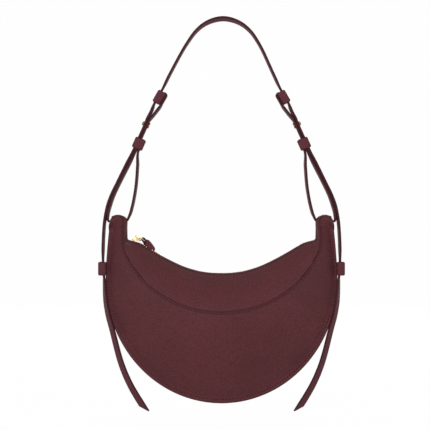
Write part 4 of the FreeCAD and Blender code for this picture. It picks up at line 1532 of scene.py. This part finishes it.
# %% Runs from the lower keepers to the side keepers
RUN_LEAN = -8.0
RUN_TOP, RUN_LOW, RUN_EASE = -143.0, -264.0, 14.0
side_top = Vector((SIDE_STRAP_X, 0, SIDE_KEEPER_Z + SIDE_KEEPER_LENGTH / 2 + KEEPER_RELEASE)) * MM
side_middle = Vector((SIDE_STRAP_X, 0, SIDE_KEEPER_Z)) * MM
run_line = straight(lower(1, SPLIT_DOWN), lower(1, LOWER_RUN))
run_line += smooth_line(route(lower(1, LOWER_RUN), side_top, STRAP_SIDE_SHARES), lower_way, DOWN, 12)[1:]
run_line += straight(side_top, side_middle, 4)[1:]


def run_lean(u):
    height = run_line[round(u * (len(run_line) - 1))][0].z / MM
    return math.radians(RUN_LEAN) * within(height, RUN_TOP, RUN_LOW, RUN_EASE, RUN_EASE)


for side, mirror in SIDES:
    run = band(f"{side}_strap_run_leather", run_line, STRAP_WIDTH, STRAP_THICK,
               twist=run_lean, mirror=mirror)
    finish_piece(run, None, "strap_leather", f"{side}_strap_run")
    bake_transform(run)

# %% Tails
TAIL_SHARES = [(0.006, 0.045), (0.013, 0.090), (0.024, 0.136), (0.041, 0.190), (0.102, 0.289)]
TAIL_SHARES += [(0.191, 0.387), (0.414, 0.645), (0.650, 0.819)]
TAIL_HUG = 1.3
TAIL_SWEEP = 45.5
TAIL_DROP = 143.5
TAIL_TURN = 10.0
TAIL_TURN_SHARE = 0.03
TAIL_TWIST = 38.0
TAIL_SLANT = -5.0
SLANT_START, SLANT_SPAN = 0.9, 0.1
hinge = Vector((SIDE_STRAP_X - TAIL_HUG, 0, TAIL_HINGE_Z)) * MM
tip = Vector((SIDE_STRAP_X - TAIL_SWEEP, 0, TAIL_HINGE_Z - TAIL_DROP)) * MM
tail_route = route(hinge, tip, TAIL_SHARES)
tail_line = straight(side_middle, hinge, 6)[:-1]
tail_start = len(tail_line)
tail_line += smooth_line(tail_route, DOWN, towards(tail_route[-2], tip), 10)


def tail_share(u):
    return max(0.0, u * (len(tail_line) - 1) - tail_start) / (len(tail_line) - 1 - tail_start)


def tail_twist(u):
    share = tail_share(u)
    return math.radians(TAIL_TURN * eased(share / TAIL_TURN_SHARE) + TAIL_TWIST * share)


def tail_slant(u):
    return TAIL_SLANT * max(0.0, (tail_share(u) - SLANT_START) / SLANT_SPAN)


for side, mirror in SIDES:
    tail = band(f"{side}_tail_leather", tail_line, STRAP_WIDTH, STRAP_THICK,
                twist=tail_twist, slant=tail_slant, mirror=mirror)
    finish_piece(tail, None, "strap_leather", f"{side}_tail")
    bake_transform(tail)

# %% [markdown]
# The hanger starts with a short end inside the upper keeper, folds over the keeper's inner wall and runs
# down to the stud beside the strap. It loops through the tunnel in the horn and comes back into the lower
# keeper.

# %% Hangers
HANGER_MIDDLE_SHARES = [(0.5, 0.5)]
HANGER_OUTER_SHARES = [(0.200, 0.160), (0.632, 0.480), (0.835, 0.642), (0.955, 0.771), (1.045, 0.905)]
HANGER_INNER_SHARES = [(0.320, 0.079), (0.539, 0.214), (0.719, 0.385), (0.832, 0.545), (0.919, 0.776)]
FOLD_LAYER = -4.8 / LAYER_STEP
FOLD_DOWN = -3.6
FOLD_STEPS = 16
SHORT_END_RUN = 6.5
HANGER_OUT_X, HANGER_IN_X, HANGER_RUN_Z = 123.25, 106.0, -220.0
HANGER_LEAN = -7.0
HANGER_LOW_EASE = 12.0
run_out = Vector((HANGER_OUT_X, 0, HANGER_RUN_Z)) * MM
run_in = Vector((HANGER_IN_X, 0, HANGER_RUN_Z)) * MM
INWARD = Vector((-1, 0, 0))
hanger_line = straight(upper(0, SHORT_END_RUN), upper(0, FOLD_DOWN))
fold_middle = upper(FOLD_LAYER / 2, FOLD_DOWN)
fold_arm = upper(0, FOLD_DOWN) - fold_middle
for step in range(1, FOLD_STEPS):
    turn = Matrix.Rotation(-math.pi * step / FOLD_STEPS, 3, "Y")
    arm = turn @ fold_arm
    hanger_line.append((fold_middle + arm, Vector((-arm.z, 0, arm.x)).normalized()))
fold_end, stud_top = upper(FOLD_LAYER, UPPER_RUN), lower(0, -STUD_RUN)
hanger_line += straight(upper(FOLD_LAYER, FOLD_DOWN), fold_end)
hanger_line += smooth_line(route(fold_end, stud_top, HANGER_MIDDLE_SHARES), upper_way, lower_way)[1:]
hanger_line += straight(stud_top, lower(0, LOWER_RUN))[1:]
outer_route = route(lower(0, LOWER_RUN), run_out, HANGER_OUTER_SHARES)
hanger_line += smooth_line(outer_route, lower_way, INWARD, 12)[1:]
hanger_line += straight(run_out, run_in)[1:]
inner_route = route(run_in, lower(-1, LOWER_RUN), HANGER_INNER_SHARES)
hanger_line += smooth_line(inner_route, INWARD, -lower_way, 10)[1:]
hanger_line += straight(lower(-1, LOWER_RUN), lower(-1, -LOWER_RUN))[1:]


def hanger_lean(u):
    point, along = hanger_line[round(u * (len(hanger_line) - 1))]
    height = point.z / MM
    lean = HANGER_LEAN if along.z < 0 else -HANGER_LEAN
    loose = within(height, RUN_TOP, HANGER_RUN_Z, RUN_EASE, HANGER_LOW_EASE)
    return math.radians(lean * loose + STUD_LEAN * near_stud(height))


for side, mirror in SIDES:
    hanger = band(f"{side}_hanger_leather", hanger_line, STRAP_WIDTH, STRAP_THICK,
                  twist=hanger_lean, mirror=mirror)
    finish_piece(hanger, None, "strap_leather", f"{side}_hanger")
    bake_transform(hanger)

# %% [markdown]
# ## Keepers
# A keeper is a short strip of leather wrapped round the bands and glued into a loop. It is carved from a
# block: the upright corners and then the ends are bevelled round, the inside is cut away with a Boolean,
# and the rims are softened. The rims are painted like every cut edge on the bag.

# %% Leather loops
KEEPER_WALL = 1.8
KEEPER_CORNER = 2.0
KEEPER_PILLOW = 1.6
KEEPER_RIM = 0.3
HOLE_CORNER = 0.8
PAINTED_NORMAL = 0.7


def cut_away(piece, tool):
    modify(piece, "BOOLEAN", object=tool, operation="DIFFERENCE", solver="EXACT")
    bpy.data.objects.remove(tool)


def keeper_loop(name, outer, inner, shift, matrix):
    loop = round_uprights(cut_block(name, outer, (0, 0, 0), 0.0), KEEPER_CORNER)
    round_edges(loop, KEEPER_PILLOW, 60, 4)
    hole_size = (inner[0], inner[1], inner[2] * 2)
    hole = round_uprights(cut_block(name + "_hole", hole_size, (0, 0, 0), 0.0), HOLE_CORNER)
    move_mesh(hole, Matrix.Translation((shift * MM, 0, 0)))
    cut_away(loop, hole)
    loop.data.materials.append(strap_leather)
    loop.data.materials.append(edge_paint)
    for face in loop.data.polygons:
        face.material_index = 1 if abs(face.normal.z) > PAINTED_NORMAL else 0
    round_edges(loop, KEEPER_RIM, 60)
    move_mesh(loop, matrix)
    outwards(loop)
    return smooth(loop, 45)


def keeper_matrix(centre, tilt, mirror):
    sign = -1 if mirror else 1
    turn = Matrix.Rotation(math.radians(-tilt * sign), 4, "Y")
    return Matrix.Translation(Vector((centre[0] * sign, 0, centre[1])) * MM) @ turn


KEEPER_CLEAR_Y = STRAP_WIDTH + 0.6
KEEPER_CLEAR_X = 0.3
UPPER_KEEPER_LENGTH = 14.6
UPPER_KEEPER_DOWN = 0.8
LOWER_KEEPER_LENGTH = 12.4


def keeper_sizes(layers, length):
    clear = layers * LAYER_STEP + KEEPER_CLEAR_X
    inner = (clear, KEEPER_CLEAR_Y, length)
    return (clear + 2 * KEEPER_WALL, KEEPER_CLEAR_Y + 2 * KEEPER_WALL, length), inner


upper_middle = upper(0.5, UPPER_KEEPER_DOWN) / MM
for side, mirror in SIDES:
    matrix = keeper_matrix((upper_middle.x, upper_middle.z), UPPER_TILT, mirror)
    loop = keeper_loop(f"{side}_upper_keeper_loop", *keeper_sizes(2, UPPER_KEEPER_LENGTH), 0.0, matrix)
    finish_piece(loop, "strap", "strap_leather", f"{side}_upper_keeper")
    matrix = keeper_matrix(LOWER_CENTRE, LOWER_TILT, mirror)
    loop = keeper_loop(f"{side}_lower_keeper_loop", *keeper_sizes(3, LOWER_KEEPER_LENGTH), 0.0, matrix)
    finish_piece(loop, f"{side}_lower_keeper", "strap_leather", f"{side}_lower_keeper")

# %% Side keepers on the bag's edge
SIDE_INNER_X = 126.6
SIDE_SLACK = 2.2
slot_low = SIDE_STRAP_X - STRAP_THICK / 2 - KEEPER_CLEAR_X
slot_high = SIDE_STRAP_X + STRAP_THICK / 2 + SIDE_SLACK
side_outer_x = slot_high + KEEPER_WALL
side_outer = (side_outer_x - SIDE_INNER_X, KEEPER_CLEAR_Y + 2 * KEEPER_WALL, SIDE_KEEPER_LENGTH)
side_inner = (slot_high - slot_low, KEEPER_CLEAR_Y, SIDE_KEEPER_LENGTH)
side_centre = (side_outer_x + SIDE_INNER_X) / 2
slot_shift = (slot_high + slot_low) / 2 - side_centre
for side, mirror in SIDES:
    sign = -1 if mirror else 1
    matrix = Matrix.Translation(Vector((side_centre * sign, 0, SIDE_KEEPER_Z)) * MM)
    loop = keeper_loop(f"{side}_side_keeper_loop", side_outer, side_inner, slot_shift * sign, matrix)
    finish_piece(loop, "bag", "strap_leather", f"{side}_side_keeper")

# %% [markdown]
# ## Studs
# A stud joins strap and hanger: a low button outside and a slotted screw from the inside, in gold darkened
# with painted shade.
# Both are turned parts, so each is a profile swept full circle with Spin, as on a lathe.

# %% Turned studs and screws
STUD_PROFILE = [(0.0, -2.55), (1.6, -2.55), (1.6, 2.85), (2.4, 2.85), (2.6, 3.0), (2.6, 3.35), (2.4, 3.55)]
STUD_PROFILE += [(2.1, 3.7), (1.9, 4.1), (1.5, 4.5), (0.8, 4.75), (0.0, 4.8)]
SCREW_PROFILE = [(0.0, -2.85), (0.9, -2.85), (3.1, -2.85), (3.4, -3.1), (3.4, -3.6), (3.1, -3.95)]
SCREW_PROFILE += [(1.6, -4.05), (0.0, -4.05)]
SLOT_SIZE = (7.0, 0.8, 1.0)


def turned(name, profile):
    mesh = bpy.data.meshes.new(name)
    points = [(radius * MM, 0, height * MM) for radius, height in profile]
    mesh.from_pydata(points, [(index, index + 1) for index in range(len(points) - 1)], [])
    piece = bpy.data.objects.new(name, mesh)
    bpy.context.collection.objects.link(piece)
    take(piece)
    bpy.ops.object.mode_set(mode="EDIT")
    bpy.ops.mesh.select_all(action="SELECT")
    bpy.ops.mesh.spin(steps=36, angle=2 * math.pi, center=(0, 0, 0), axis=(0, 0, 1))
    bpy.ops.object.mode_set(mode="OBJECT")
    return outwards(piece)


def stud_matrix(mirror):
    middle = lower(0.5, -STUD_ABOVE_KEEPER)
    turn = math.radians(LOWER_TILT)
    across = Vector((math.cos(turn), 0, math.sin(turn)))
    if mirror:
        middle.x, across.x = -middle.x, -across.x
    return Matrix.Translation(middle) @ across.to_track_quat("Z", "Y").to_matrix().to_4x4()


def fit_stud(piece, mirror, node):
    # Painted shade: stud and screw take the darkened copy of the gold.
    piece.data.materials.append(shaded_stud_gold)
    move_mesh(piece, stud_matrix(mirror))
    smooth(piece, 35)
    finish_piece(piece, "strap", "gold_metal", node)


for side, mirror in SIDES:
    fit_stud(turned(f"{side}_strap_stud", STUD_PROFILE), mirror, f"{side}_stud")
    screw = turned(f"{side}_strap_stud_screw", SCREW_PROFILE)
    cut_away(screw, cut_block("screw_slot", SLOT_SIZE, (0, 0, SCREW_PROFILE[-1][1]), 0.0))
    fit_stud(screw, mirror, f"{side}_stud_screw")
